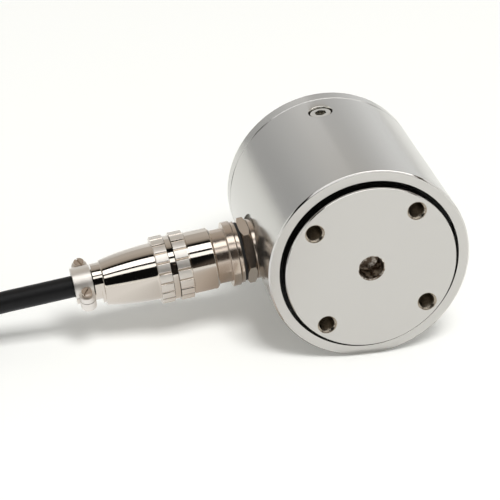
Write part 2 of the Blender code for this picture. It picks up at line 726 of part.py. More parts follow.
def flute_bars(name, ring_radius, low, high, connector):
    """Square bars on edge, which leave V grooves along a knurled ring."""
    side = FLUTE_DEPTH * math.sqrt(2)
    mesh_edit = bmesh.new()
    for place in on_circle(ring_radius, FLUTE_COUNT, FLUTE_TURN, (low + high) / 2):
        before = set(mesh_edit.verts)
        bmesh.ops.create_cube(mesh_edit, size=1.0)
        fresh = [vertex for vertex in mesh_edit.verts if vertex not in before]
        bmesh.ops.scale(mesh_edit, vec=(side, side, high - low), verts=fresh)
        angle = math.atan2(place.y, place.x) + math.pi / 4
        bmesh.ops.rotate(mesh_edit, matrix=Matrix.Rotation(angle, 3, "Z"), verts=fresh)
        bmesh.ops.translate(mesh_edit, vec=place, verts=fresh)
    return finish(name, mesh_edit, connector, None)


def make_coupling_nut(connector, nickel):
    """The plug's coupling nut: a plain sleeve and a fluted grip ring."""
    bore = COLLAR_RADIUS + FIT_GAP
    collar_bore = PLUG_BARREL_RADIUS + FIT_GAP
    undercut = NUT_SLEEVE_RADIUS - UNDERCUT_DEPTH
    profile = [
        (bore, NUT_FRONT),
        (NUT_SLEEVE_RADIUS - NUT_FRONT_CHAMFER, NUT_FRONT),
        (NUT_SLEEVE_RADIUS, NUT_FRONT + NUT_FRONT_CHAMFER),
        (NUT_SLEEVE_RADIUS, NUT_RING_BACK - UNDERCUT_WIDTH),
        (undercut, NUT_RING_BACK - UNDERCUT_WIDTH),
        (undercut, NUT_RING_BACK),
        (NUT_RING_RADIUS - CHAMFER, NUT_RING_BACK),
        (NUT_RING_RADIUS, NUT_RING_BACK + CHAMFER),
        (NUT_RING_RADIUS, NUT_END - CHAMFER),
        (NUT_RING_RADIUS - CHAMFER, NUT_END),
        (collar_bore, NUT_END),
        (collar_bore, NUT_COLLAR_BACK),
        (bore, NUT_COLLAR_BACK),
    ]
    nut = turned("coupling_nut", profile, connector, nickel)
    bars = flute_bars(
        "coupling_flutes",
        NUT_RING_RADIUS,
        NUT_RING_BACK - UNDERCUT_WIDTH / 2,
        NUT_END + FLUTE_DEPTH,
        connector,
    )
    return combine(nut, bars, "DIFFERENCE")


def make_plug_shell(connector, nickel):
    """The plug's barrel, with the notched flange seen between the two fluted rings."""
    groove_front = NUT_COLLAR_BACK - SEAT_GAP - RETAINING_RING_WIDTH - 2 * SEAT_GAP
    groove_floor = PLUG_BARREL_RADIUS - RETAINING_RING_HEIGHT / 2
    profile = [
        (PLUG_BORE, PLUG_FRONT),
        (PLUG_BARREL_RADIUS - CHAMFER, PLUG_FRONT),
        (PLUG_BARREL_RADIUS, PLUG_FRONT + CHAMFER),
        (PLUG_BARREL_RADIUS, groove_front),
        (groove_floor, groove_front),
        (groove_floor, NUT_COLLAR_BACK),
        (PLUG_BARREL_RADIUS, NUT_COLLAR_BACK),
        (PLUG_BARREL_RADIUS, PLUG_FLANGE_BACK),
        (PLUG_FLANGE_RADIUS, PLUG_FLANGE_BACK),
        (PLUG_FLANGE_RADIUS, PLUG_FLANGE_END),
        (PLUG_THREAD_RADIUS, PLUG_FLANGE_END),
        (PLUG_THREAD_RADIUS, PLUG_THREAD_END),
        (PLUG_BORE, PLUG_THREAD_END),
    ]
    shell = turned("plug_shell", profile, connector, nickel)
    for index, (angle, width) in enumerate(zip(NOTCH_ANGLES, NOTCH_WIDTHS), start=1):
        low = (PLUG_FLANGE_RADIUS - NOTCH_DEPTH, -width / 2, PLUG_FLANGE_BACK - FIT_GAP)
        high = (PLUG_FLANGE_RADIUS + NOTCH_DEPTH, width / 2, PLUG_FLANGE_END + FIT_GAP)
        turn = Matrix.Rotation(angle, 4, "Z")
        notch = box(f"flange_notch_{index}", low, high, connector, None, turn)
        combine(shell, notch, "DIFFERENCE")

    high = NUT_COLLAR_BACK - SEAT_GAP
    low = high - RETAINING_RING_WIDTH
    inner = groove_floor + SEAT_GAP
    profile = ring_profile(inner, groove_floor + RETAINING_RING_HEIGHT, low, high)
    ring = turned("retaining_ring", profile, connector, nickel, SMALL_SEGMENTS * 2)
    split = box(
        "retaining_ring_split",
        (0.0, -RETAINING_RING_SPLIT / 2, low - FIT_GAP),
        (PLUG_FLANGE_RADIUS, RETAINING_RING_SPLIT / 2, high + FIT_GAP),
        connector,
    )
    combine(ring, split, "DIFFERENCE")
    return shell


def make_plug_contacts(connector, plastic, gold):
    """The plug's insulator and its four socket contacts with solder cups."""
    places = on_circle(CONTACT_CIRCLE_RADIUS, CONTACT_COUNT, BOLT_HOLE_TURN)
    profile = rod_profile(PLUG_BORE - SEAT_GAP, SOCKET_FRONT, PLUG_THREAD_END, CHAMFER)
    insert = turned("plug_insulator", profile, connector, plastic, SMALL_SEGMENTS * 2, bored=False)
    hole = rod_profile(SOCKET_RADIUS + SEAT_GAP, PLUG_FRONT, SOCKET_END)
    drills = drilled_group("plug_insulator_drills", hole, places, connector, PIN_SEGMENTS)
    combine(insert, drills, "DIFFERENCE")

    bore = PIN_RADIUS + FIT_GAP
    floor = PIN_FRONT + SOCKET_FLOOR
    profile = [
        (0.0, floor),
        (bore, floor),
        (bore, SOCKET_FRONT),
        (SOCKET_RADIUS, SOCKET_FRONT),
        (SOCKET_RADIUS, SOCKET_END),
        (0.0, SOCKET_END),
    ]
    first = turned("socket_contact_1", profile, connector, gold, PIN_SEGMENTS, False)
    first.matrix_local = Matrix.Translation(places[0])
    for index, place in enumerate(places[1:], start=2):
        place_copy(first, f"socket_contact_{index}", connector, place)


def ogive_profile(start, end, front_radius, back_radius, steps):
    """A convex taper that leaves the first radius along the axis."""
    run = end - start
    fall = front_radius - back_radius
    bend = (run * run + fall * fall) / (2 * fall)
    sweep = math.asin(run / bend)
    return arc((front_radius - bend, start), bend, 0.0, sweep, steps)


def stadium(name, span, width, low_y, high_y, middle_z, frame):
    """A flat bar with round ends. It spans X, is wide along Z and thick along Y."""
    straight = (span - width) / 2
    steps = 10
    outline = []
    for index in range(steps + 1):
        angle = -math.pi / 2 + math.pi * index / steps
        outline.append((straight + width / 2 * math.cos(angle), width / 2 * math.sin(angle)))
    outline += [(-x, -z) for x, z in outline]
    mesh_edit = bmesh.new()
    corners = [mesh_edit.verts.new((x, low_y, middle_z + z)) for x, z in outline]
    face = mesh_edit.faces.new(corners)
    made = bmesh.ops.extrude_face_region(mesh_edit, geom=[face])
    top = [item for item in made["geom"] if isinstance(item, bmesh.types.BMVert)]
    bmesh.ops.translate(mesh_edit, vec=(0.0, high_y - low_y, 0.0), verts=top)
    return finish(name, mesh_edit, frame, None)


def clamp_screw_places():
    return [-CLAMP_SCREW_SPACING / 2, CLAMP_SCREW_SPACING / 2]


def screw_holes(name, radius, low_y, high_y, frame):
    """Drills along Y at the clamp's two screws."""
    mesh_edit = bmesh.new()
    turn = Matrix.Rotation(-math.pi / 2, 3, "X")
    for x in clamp_screw_places():
        before = set(mesh_edit.verts)
        turn_profile(mesh_edit, rod_profile(radius, low_y, high_y), SMALL_SEGMENTS, False)
        fresh = [vertex for vertex in mesh_edit.verts if vertex not in before]
        bmesh.ops.rotate(mesh_edit, matrix=turn, verts=fresh)
        bmesh.ops.translate(mesh_edit, vec=(x, 0.0, EAR_MIDDLE), verts=fresh)
    return finish(name, mesh_edit, frame, None)


def make_back_shell(connector, clamp, nickel):
    """The fluted ring, the ogive body and the tail tube with the clamp's fixed jaw."""
    body_bore = SHELL_TAIL_RADIUS - SHELL_WALL
    thread_end = PLUG_THREAD_END + FIT_GAP
    profile = [
        (SHELL_BORE, SHELL_RING_BACK),
        (SHELL_RING_RADIUS - CHAMFER, SHELL_RING_BACK),
        (SHELL_RING_RADIUS, SHELL_RING_BACK + CHAMFER),
        (SHELL_RING_RADIUS, SHELL_BODY_BACK - CHAMFER),
        (SHELL_RING_RADIUS - CHAMFER, SHELL_BODY_BACK),
    ]
    profile += ogive_profile(
        SHELL_BODY_BACK, SHELL_TAIL - CHAMFER, SHELL_BODY_RADIUS, SHELL_TAIL_RADIUS, 8
    )
    neck_end = SHELL_TAIL + NECK_LENGTH
    profile += [
        (SHELL_TAIL_RADIUS - CHAMFER, SHELL_TAIL),
        (NECK_RADIUS, SHELL_TAIL),
        (NECK_RADIUS, neck_end),
        (0.0, neck_end),
        (0.0, CABLE_START - CABLE_INSIDE),
        (body_bore, CABLE_START - CABLE_INSIDE),
        (SHELL_BORE - CHAMFER, thread_end + CHAMFER),
        (SHELL_BORE, thread_end),
    ]
    shell = turned("back_shell", profile, connector, nickel)
    tail = turned(
        "tail_tube", rod_profile(TAIL_RADIUS, CABLE_START, TAIL_END), clamp, None, bored=False
    )
    combine(shell, tail, "UNION")
    jaw_face = -SEAT_GAP
    ear = stadium(
        "jaw_ear",
        EAR_SPAN,
        EAR_WIDTH,
        jaw_face - JAW_EAR_THICKNESS,
        jaw_face + PARTING_OVERLAP,
        EAR_MIDDLE,
        clamp,
    )
    combine(shell, ear, "UNION")
    opened = box(
        "jaw_opening",
        (-EAR_SPAN, jaw_face, JAW_START),
        (EAR_SPAN, EAR_SPAN, TAIL_END + FIT_GAP),
        clamp,
    )
    combine(shell, opened, "DIFFERENCE")
    passage = rod_profile(CABLE_BORE, CABLE_START - 2 * CABLE_INSIDE, TAIL_END + FIT_GAP)
    combine(shell, turned("cable_passage", passage, clamp, None, bored=False), "DIFFERENCE")
    holes = screw_holes(
        "jaw_screw_holes",
        CLAMP_SCREW_RADIUS + SEAT_GAP,
        -JAW_EAR_THICKNESS - FIT_GAP,
        FIT_GAP,
        clamp,
    )
    combine(shell, holes, "DIFFERENCE")
    bars = flute_bars(
        "shell_flutes",
        SHELL_RING_RADIUS,
        SHELL_RING_BACK - FLUTE_DEPTH,
        SHELL_BODY_BACK + UNDERCUT_WIDTH / 2,
        connector,
    )
    return combine(shell, bars, "DIFFERENCE")


def make_saddle(clamp, nickel):
    """The loose half of the cable clamp: an arch over the cable with two flat ears."""
    seat = SEAT_GAP
    start = JAW_START + FIT_GAP
    profile = ring_profile(CABLE_BORE, TAIL_RADIUS, start, TAIL_END)
    saddle = turned("clamp_saddle", profile, clamp, nickel)
    ear = stadium(
        "saddle_ear",
        EAR_SPAN,
        EAR_WIDTH,
        seat - PARTING_OVERLAP,
        seat + SADDLE_EAR_THICKNESS,
        EAR_MIDDLE,
        clamp,
    )
    combine(saddle, ear, "UNION")
    reach = EAR_SPAN
    lower_half = box(
        "saddle_parting", (-reach, -reach, start - FIT_GAP), (reach, seat, TAIL_END + FIT_GAP), clamp
    )
    combine(saddle, lower_half, "DIFFERENCE")
    passage = rod_profile(CABLE_BORE, start - FIT_GAP, TAIL_END + FIT_GAP)
    combine(saddle, turned("saddle_passage", passage, clamp, None, bored=False), "DIFFERENCE")
    holes = screw_holes(
        "saddle_screw_holes", CLAMP_SCREW_RADIUS + SEAT_GAP, -FIT_GAP, TAIL_RADIUS + FIT_GAP, clamp
    )
    combine(saddle, holes, "DIFFERENCE")
    seats = screw_holes(
        "saddle_head_seats",
        CLAMP_HEAD_RADIUS + FIT_GAP,
        seat + SADDLE_EAR_THICKNESS - HEAD_SEAT_SINK,
        TAIL_RADIUS + FIT_GAP,
        clamp,
    )
    return combine(saddle, seats, "DIFFERENCE")


def make_clamp_screws(clamp, nickel):
    """Two cheese head screws that draw the saddle onto the fixed jaw."""
    under_head = 2 * SEAT_GAP + SADDLE_EAR_THICKNESS - HEAD_SEAT_SINK
    tip = -SEAT_GAP - JAW_EAR_THICKNESS + FIT_GAP
    top = under_head + CLAMP_HEAD_HEIGHT
    edge = CHAMFER / 2
    profile = [
        (0.0, tip),
        (CLAMP_SCREW_RADIUS - edge, tip),
        (CLAMP_SCREW_RADIUS, tip + edge),
        (CLAMP_SCREW_RADIUS, under_head),
        (CLAMP_HEAD_RADIUS, under_head),
        (CLAMP_HEAD_RADIUS, top - edge),
        (CLAMP_HEAD_RADIUS - edge, top),
        (0.0, top),
    ]
    upright = Matrix.Rotation(-math.pi / 2, 4, "X")
    for index, x in enumerate(clamp_screw_places(), start=1):
        seat = make_frame(
            f"clamp_screw_{index}_frame",
            clamp,
            Matrix.Translation((x, 0.0, EAR_MIDDLE)) @ upright,
        )
        screw = turned(f"clamp_screw_{index}", profile, seat, nickel, SMALL_SEGMENTS, bored=False)
        turn = Matrix.Rotation(CLAMP_SLOT_TURNS[index - 1], 4, "Z")
        low = (-2 * CLAMP_HEAD_RADIUS, -CLAMP_SLOT_WIDTH / 2, top - CLAMP_SLOT_DEPTH)
        high = (2 * CLAMP_HEAD_RADIUS, CLAMP_SLOT_WIDTH / 2, top + CLAMP_SLOT_DEPTH)
        combine(screw, box(f"clamp_slot_{index}", low, high, seat, None, turn), "DIFFERENCE")


def make_plug_cores(connector, clamp, sheaths):
    """Four insulated cores from the cable's end to the solder cups, inside the back shell."""
    ends = on_circle(CONTACT_CIRCLE_RADIUS, CONTACT_COUNT, BOLT_HOLE_TURN)
    starts = on_circle(CORE_CIRCLE_RADIUS, CONTACT_COUNT, BOLT_HOLE_TURN - CLAMP_TURN)
    to_connector = connector.matrix_world.inverted() @ clamp.matrix_world
    for index, (end, start) in enumerate(zip(ends, starts), start=1):
        near = to_connector @ Vector((start.x, start.y, CABLE_START - FIT_GAP))
        far = Vector((end.x, end.y, SOCKET_END + FIT_GAP))
        run = near.z - far.z
        near_guide = near - Vector((0.0, 0.0, run / 4))
        far_guide = far + Vector((0.0, 0.0, run / 4))
        points = smooth_route([near, near_guide, far_guide, far], 4 * CORE_RADIUS)
        tube(f"plug_core_{index}", points, CORE_RADIUS, sheaths[index - 1], connector, 1)


def make_inner_leads(frame, connector, sheaths):
    """Four leads from the receptacle's pins down to the bridge board."""
    to_body = frame.matrix_world.inverted() @ connector.matrix_world
    board_top = SPIGOT_TOP + SEAT_GAP + BOARD_THICKNESS
    places = on_circle(CONTACT_CIRCLE_RADIUS, CONTACT_COUNT, BOLT_HOLE_TURN)
    foot_x = -(BOARD_INNER + BOARD_OUTER) / 2
    for index, place in enumerate(places, start=1):
        start = to_body @ Vector((place.x, place.y, SHANK_END - FIT_GAP))
        lane, fan = (2.0, LEAD_FAN) if place.x > 0.0 else (1.0, 1.0)
        straight = start + Vector((LEAD_REACH / 3, 0.0, 0.0))
        bend = Vector((start.x + LEAD_REACH * lane, start.y * (1 + fan) / 2, start.z))
        foot = Vector((foot_x, start.y * fan, board_top + FIT_GAP))
        below = (bend + foot) / 2
        points = smooth_route([start, straight, bend, below, foot], 3 * CORE_RADIUS)
        tube(f"inner_lead_{index}", points, CORE_RADIUS, sheaths[index - 1], frame, 1)


def polyline_length(points):
    return sum((second - first).length for first, second in zip(points, points[1:]))


def cable_route(clamp):
    """The free cable's route: straight out of the clamp, then down and aside to the hank."""
    inside = (CABLE_START, TAIL_END, TAIL_END + CABLE_STRAIGHT_RUN)
    points = [clamp.matrix_world @ Vector((0.0, 0.0, place)) for place in inside]
    points += [Vector(place) for place in CABLE_FALL]
    points.append(Vector((*HANK_JOINT, HANK_JOINT_HEIGHT)))
    return points


def stop_short(points, middle, clear):
    """The points up to where a polyline comes this near to an upright line through the middle."""
    kept = [points[0]]
    before = (points[0] - middle).xy.length
    for point in points[1:]:
        distance = (point - middle).xy.length
        if distance < clear:
            kept.append(kept[-1].lerp(point, (before - clear) / (before - distance)))
            return kept
        kept.append(point)
        before = distance
    return kept


def hank_station(run, straight):
    """The fold's middle and the direction outwards, at a run clockwise from the right fold's start."""
    fold = math.pi * HANK_FOLD_RADIUS
    if run < fold:
        return straight / 2, math.pi / 2 - run / HANK_FOLD_RADIUS
    if run < fold + straight:
        return straight / 2 - (run - fold), -math.pi / 2
    if run < 2 * fold + straight:
        return -straight / 2, -math.pi / 2 - (run - fold - straight) / HANK_FOLD_RADIUS
    return run - 2 * fold - 1.5 * straight, -1.5 * math.pi


def hank_point(station, radius, height):
    middle, angle = station
    return Vector((middle + radius * math.cos(angle), radius * math.sin(angle), height))


def closed_sweep(name, sections, frame, material):
    """A ring through closed sections, with the last one joined to the first."""
    mesh_edit = bmesh.new()
    loops = [[mesh_edit.verts.new(point) for point in section] for section in sections]
    for near, far in zip(loops, loops[1:] + loops[:1]):
        for index in range(len(near)):
            mesh_edit.faces.new((near[index - 1], near[index], far[index], far[index - 1]))
    return finish(name, mesh_edit, frame, material)


def make_hank(straight, frame, jacket):
    """The outer shape of the hank's turns: a ring with two straight runs and two round folds."""
    inner = HANK_FOLD_RADIUS - HANK_SPREAD - CABLE_RADIUS
    outer = HANK_OUTER_TURN + CABLE_RADIUS
    profile = ring_profile(inner + HANK_EDGE, outer, HANK_BASE, HANK_TOP, HANK_EDGE)
    profile += [(inner, HANK_TOP - HANK_EDGE), (inner, HANK_BASE + HANK_EDGE)]
    fold = math.pi * HANK_FOLD_RADIUS
    turns = [fold * step / FOLD_SEGMENTS for step in range(FOLD_SEGMENTS)]
    runs = turns + [fold] + [fold + straight + turn for turn in turns[1:]]
    runs += [fold + straight, 2 * fold + straight]
    stations = [hank_station(run, straight) for run in sorted(runs)]
    sections = [[hank_point(station, *corner) for corner in profile] for station in stations]
    return closed_sweep("cable_hank", sections, frame, jacket)


def make_tie(name, middle, centres, frame, plastic):
    """A flat band round one run of the hank, whose outline goes round the cables at its corners."""
    inner = CABLE_RADIUS + TIE_GAP
    outer = inner + TIE_THICKNESS
    sections = []
    for before, centre, after in zip(centres[-1:] + centres[:-1], centres, centres[1:] + centres[:1]):
        start = math.atan2(centre[1] - before[1], centre[0] - before[0]) - math.pi / 2
        end = math.atan2(after[1] - centre[1], after[0] - centre[0]) - math.pi / 2
        sweep = (end - start) % (2 * math.pi)
        for step in range(TIE_CORNER_SEGMENTS + 1):
            angle = start + sweep * step / TIE_CORNER_SEGMENTS
            reach = Vector((0.0, math.cos(angle), math.sin(angle)))
            corner = Vector((middle, *centre))
            across = Vector((TIE_WIDTH / 2, 0.0, 0.0))
            sections.append(
                [
                    corner + reach * inner - across,
                    corner + reach * inner + across,
                    corner + reach * outer + across,
                    corner + reach * outer - across,
                ]
            )
    return closed_sweep(name, sections, frame, plastic)


def make_cable(clamp, jacket, plastic, sheaths):
    """The free cable, its hank with two ties, and the cable's end on top of the hank."""
    joint = HANK_JOINT_TURN - math.pi / 2
    outwards = Vector((math.cos(joint), math.sin(joint), 0.0))
    near_fold = Vector((*HANK_JOINT, 0.0)) - outwards * HANK_OUTER_TURN
    whole = smooth_route(cable_route(clamp), 4 * CABLE_RADIUS)
    tube("cable_tube", stop_short(whole, near_fold, HANK_CLEAR), CABLE_RADIUS, jacket)

    fold = math.pi * HANK_FOLD_RADIUS
    turns = HANK_COLUMNS * HANK_LAYERS
    top_fold = fold + HANK_JOINT_TURN * HANK_FOLD_RADIUS
    spare = CABLE_LENGTH - polyline_length(whole) - 2 * turns * fold - top_fold
    straight = spare / (2 * turns + 1)
    middle = near_fold - Vector((straight / 2, 0.0, 0.0))
    place = make_frame("hank_frame", None, Matrix.Translation(middle))
    make_hank(straight, place, jacket)

    begin = fold - HANK_JOINT_TURN * HANK_FOLD_RADIUS
    finish_run = 2 * fold + straight
    steps = round((finish_run - begin) / (3 * CABLE_RADIUS))
    runs = [begin + (finish_run - begin) * step / steps for step in range(steps + 1)]
    stations = [hank_station(run, straight) for run in runs]
    top_turn = [hank_point(station, HANK_FOLD_RADIUS, HANK_TOP_TURN) for station in stations]
    tube("cable_end", top_turn, CABLE_RADIUS, jacket, place)

    low = HANK_BASE + CABLE_RADIUS
    high = HANK_TOP - CABLE_RADIUS
    tie_place = straight / 2 - TIE_INSET - TIE_WIDTH / 2
    near = -HANK_FOLD_RADIUS
    near_corners = [
        (near - HANK_SPREAD, low),
        (near + HANK_SPREAD, low),
        (near + HANK_SPREAD, high),
        (near, HANK_TOP_TURN),
        (near - HANK_SPREAD, high),
    ]
    make_tie("hank_tie_1", -tie_place, near_corners, place, plastic)
    far = HANK_FOLD_RADIUS
    far_corners = [
        (far - HANK_SPREAD, low),
        (far + HANK_SPREAD, low),
        (far + HANK_SPREAD, high),
        (far - HANK_SPREAD, high),
    ]
    make_tie("hank_tie_2", tie_place, far_corners, place, plastic)
    make_end_leads(top_turn[-1], place, sheaths)


def make_end_leads(cable_end, place, sheaths):
    """Four stripped leads that fan out over the hank's far run, in the cable's direction."""
    ahead = Vector((1.0, 0.0, 0.0))
    outward = Vector((0.0, 1.0, 0.0))
    lead_height = HANK_TOP + FIT_GAP + CORE_RADIUS
    below = Vector((cable_end.x, cable_end.y, lead_height))
    corners = on_circle(CORE_CIRCLE_RADIUS, CONTACT_COUNT, BOLT_HOLE_TURN)
    for index, (corner, lane) in enumerate(zip(corners, LEAD_LANES), start=1):
        start = cable_end + outward * corner.x + ahead * FIT_GAP + Vector((0.0, 0.0, corner.y))
        reach = outward * lane * LEAD_SPREAD
        points = smooth_route(
            [
                start,
                start + ahead * LEAD_LENGTH / 8,
                below + reach * 0.8 + ahead * LEAD_LENGTH * 0.6,
                below + reach + ahead * LEAD_LENGTH,
            ],
            5 * CORE_RADIUS,
        )
        tube(f"end_lead_{index}", points, CORE_RADIUS, sheaths[index - 1], place, 1)


def build():
    clear_scene()
    steel = make_material("turned_stainless_steel", (0.62, 0.61, 0.59), 0.28, 1.0)
    nickel = make_material("nickel_plated_brass", (0.66, 0.63, 0.60), 0.12, 1.0)
    gold = make_material("gilded_contact", (0.85, 0.65, 0.32), 0.25, 1.0)
    rubber = make_material("black_rubber", (0.012, 0.012, 0.012), 0.6, 0.0)
    jacket = make_material("black_cable_jacket", (0.010, 0.010, 0.011), 0.5, 0.0)
    plastic = make_material("connector_insulator", (0.03, 0.03, 0.032), 0.5, 0.0)
    laminate = make_material("board_laminate", (0.05, 0.20, 0.08), 0.5, 0.0)
    foil = make_material("gauge_foil", (0.62, 0.38, 0.12), 0.4, 0.0)
    sheaths = [
        make_material("red_core", (0.45, 0.02, 0.02), 0.5, 0.0),
        make_material("black_core", (0.01, 0.01, 0.01), 0.5, 0.0),
        make_material("green_core", (0.02, 0.25, 0.05), 0.5, 0.0),
        make_material("white_core", (0.75, 0.75, 0.72), 0.5, 0.0),
    ]

    upright = Matrix.Rotation(math.pi / 2, 4, "X") @ Matrix.Rotation(ROLL, 4, "Z")
    stand = Matrix.Translation((AXIS_X, RIM_Y, BODY_RADIUS)) @ upright
    body_frame = make_frame("load_cell_frame", None, stand)
    connector = radial_frame("connector_frame", body_frame, CONNECTOR_ANGLE, CONNECTOR_SET_BACK)
    turn = Matrix.Rotation(CLAMP_TURN, 4, "Z")
    clamp = make_frame(
        "clamp_frame", connector, turn @ Matrix.Translation((0.0, CLAMP_OFFSET, 0.0))
    )
    bpy.context.view_layer.update()

    make_spring_element(body_frame, steel)
    make_sleeve(body_frame, connector, steel)
    make_mouth_seal(body_frame, rubber)
    make_gauges(body_frame, foil)
    make_board(body_frame, laminate)
    make_side_screw(body_frame, steel)
    make_receptacle(connector, nickel, plastic, gold)
    make_lock_stack(connector, nickel, rubber)
    make_coupling_nut(connector, nickel)
    make_plug_shell(connector, nickel)
    make_plug_contacts(connector, plastic, gold)
    make_back_shell(connector, clamp, nickel)
    make_saddle(clamp, nickel)
    make_clamp_screws(clamp, nickel)
    make_plug_cores(connector, clamp, sheaths)
    make_inner_leads(body_frame, connector, sheaths)
    make_cable(clamp, jacket, plastic, sheaths)


build()
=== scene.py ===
# %% [markdown]
# # A column load cell with a circular cable plug
#
# The object is a force sensor: a steel disc that takes the load, a tube around it, and a metal
# plug that carries its cable away. This script gives the imported solids their looks. The first
# cell loads those solids as a fixed frame.

# %% Load the frame
import math

import bmesh
import bpy
from mathutils import Matrix, Vector


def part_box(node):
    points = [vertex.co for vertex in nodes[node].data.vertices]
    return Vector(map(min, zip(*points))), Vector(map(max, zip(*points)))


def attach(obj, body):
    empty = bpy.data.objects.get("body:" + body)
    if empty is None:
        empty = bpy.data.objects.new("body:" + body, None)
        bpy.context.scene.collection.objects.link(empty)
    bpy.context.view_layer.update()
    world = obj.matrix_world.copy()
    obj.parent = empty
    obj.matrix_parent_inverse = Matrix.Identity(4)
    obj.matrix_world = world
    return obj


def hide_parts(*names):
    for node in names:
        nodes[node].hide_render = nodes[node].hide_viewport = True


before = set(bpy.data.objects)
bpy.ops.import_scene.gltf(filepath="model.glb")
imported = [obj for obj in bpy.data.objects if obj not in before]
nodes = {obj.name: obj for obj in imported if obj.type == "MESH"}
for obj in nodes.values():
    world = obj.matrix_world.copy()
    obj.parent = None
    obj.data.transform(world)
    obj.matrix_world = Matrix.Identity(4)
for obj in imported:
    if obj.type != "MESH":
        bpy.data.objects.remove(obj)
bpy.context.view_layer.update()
print("pieces in the frame:", len(nodes))

# %% [markdown]
# ## Sizes
#
# A machinist reads a turned part as radii and lengths. The same sizes as in the solids are named
# here in metres, and the body's radius and its place are read from the frame.

# %% Sizes of the body
MM = 0.001
sleeve_low, sleeve_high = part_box("housing_sleeve")
element_low, element_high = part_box("spring_element")

BODY_RADIUS = (sleeve_high.z - sleeve_low.z) / 2
AXIS_X = sleeve_high.x - BODY_RADIUS
AXIS_Z = element_low.z + BODY_RADIUS
RIM_Y = sleeve_low.y
BODY_LENGTH = element_high.y - RIM_Y
DISC_PROUD = RIM_Y - element_low.y
ROLL = math.radians(8.0)

MOUTH_RADIUS = 25.0 * MM
MOUTH_DEPTH = 5.0 * MM
SLEEVE_BORE = 24.3 * MM
RIM_CHAMFER = 0.4 * MM
SEAM_CHAMFER = 0.20 * MM
DISC_CHAMFER = 0.32 * MM
DISC_CHAMFER_DEPTH = 0.5 * MM
BASE_CHAMFER = 0.6 * MM
BASE_FLANGE_THICKNESS = 4.4 * MM
DISC_RADIUS = 23.9 * MM
DISC_THICKNESS = 10.5 * MM
COLUMN_RADIUS = 10.0 * MM
COLUMN_FILLET = 2.0 * MM
SPIGOT_RADIUS = 24.0 * MM
SPIGOT_HEIGHT = 11.8 * MM
FIT_GAP = 0.3 * MM
SEAT_GAP = 0.1 * MM
print("body radius in mm:", round(BODY_RADIUS * 1000, 2), "axis x:", round(AXIS_X * 1000, 2))

# %% [markdown]
# ## Three nested frames
#
# The load cell lies on its side with its loading face towards the viewer, rolled so far that
# the plug droops by eight degrees. Each piece is modelled upright about Z, where turning is
# easy, and a matrix then lays it in place. One matrix serves the body, one the plug and one the
# cable clamp, which sits off the plug's axis.

# %% Matrices
CONNECTOR_SET_BACK = 23.3 * MM
CLAMP_TURN = math.radians(-16.5)
CLAMP_OFFSET = 1.1 * MM


def radial_matrix(angle, set_back):
    """A frame whose z leaves the body's side and whose x points to the loading face."""
    outward = Vector((math.cos(angle), math.sin(angle), 0.0))
    forward = Vector((0.0, 0.0, 1.0))
    matrix = Matrix((forward, outward.cross(forward), outward)).transposed().to_4x4()
    matrix.translation = (0.0, 0.0, -set_back)
    return matrix


laid_down = Matrix.Rotation(math.pi / 2, 4, "X") @ Matrix.Rotation(ROLL, 4, "Z")
body_place = Matrix.Translation((AXIS_X, RIM_Y, AXIS_Z)) @ laid_down
plug_place = body_place @ radial_matrix(math.pi, CONNECTOR_SET_BACK)
clamp_turn = Matrix.Rotation(CLAMP_TURN, 4, "Z")
clamp_place = plug_place @ clamp_turn @ Matrix.Translation((0, CLAMP_OFFSET, 0))
print("plug direction:", [round(value, 3) for value in plug_place.col[2][:3]])

# %% [markdown]
# ## The camera
#
# The photograph looks down on the body by about 28 degrees, from a little to its left, through a
# long lens. The camera is set before the cable, because the cable's spare length has to be
# stored where this camera doesn't see it.

# %% Camera
CAMERA_PLACE = (-0.1189, -0.52415, 0.3025)
CAMERA_AZIMUTH = math.radians(12.546)
CAMERA_ELEVATION = math.radians(27.546)
CAMERA_ROLL = math.radians(0.141)
CAMERA_LENS = 156.48
SENSOR_WIDTH = 36.0
CLIP_START = 0.01


def linked(name, data):
    """An object in the scene for a camera, lamp, curve or mesh."""
    piece = bpy.data.objects.new(name, data)
    bpy.context.scene.collection.objects.link(piece)
    return piece


camera_data = bpy.data.cameras.new("product_camera")
camera_data.lens = CAMERA_LENS
camera_data.sensor_width = SENSOR_WIDTH
camera_data.clip_start = CLIP_START
camera = linked("product_camera", camera_data)
aim = Matrix.Rotation(-CAMERA_AZIMUTH, 4, "Z")
aim @= Matrix.Rotation(math.pi / 2 - CAMERA_ELEVATION, 4, "X")
aim @= Matrix.Rotation(CAMERA_ROLL, 4, "Z")
camera.matrix_world = Matrix.Translation(CAMERA_PLACE) @ aim
bpy.context.scene.camera = camera
bpy.context.scene.view_settings.view_transform = "Standard"
print("camera:", CAMERA_PLACE, "lens", CAMERA_LENS)

# %% [markdown]
# ## Colours and node helpers
#
# Blender's shaders want linear light, while colours are easier to read as the hex values that a
# paint program shows. One function turns one into the other, another makes a plain material,
# and a third adds one node with its settings and links, so that a material reads as a recipe.
# The last one lets noise vary the gloss and lift the surface, which every finish here needs.

# %% Colour and material helpers
def srgb(code):
    """A hex colour as linear red, green, blue and alpha."""
    parts = [int(code[start:start + 2], 16) / 255 for start in (1, 3, 5)]
    linear = [
        part / 12.92 if part <= 0.04045 else ((part + 0.055) / 1.055) ** 2.4 for part in parts
    ]
    return (*linear, 1.0)


def add_node(tree, kind, settings=None, links=None):
    """One shader node. Settings name sockets or properties, links give a socket its source."""
    node = tree.nodes.new("ShaderNode" + kind)
    for name, value in (settings or {}).items():
        if isinstance(name, str) and hasattr(node, name):
            setattr(node, name, value)
        else:
            node.inputs[name].default_value = value
    for name, source in (links or {}).items():
        tree.links.new(source, node.inputs[name])
    return node


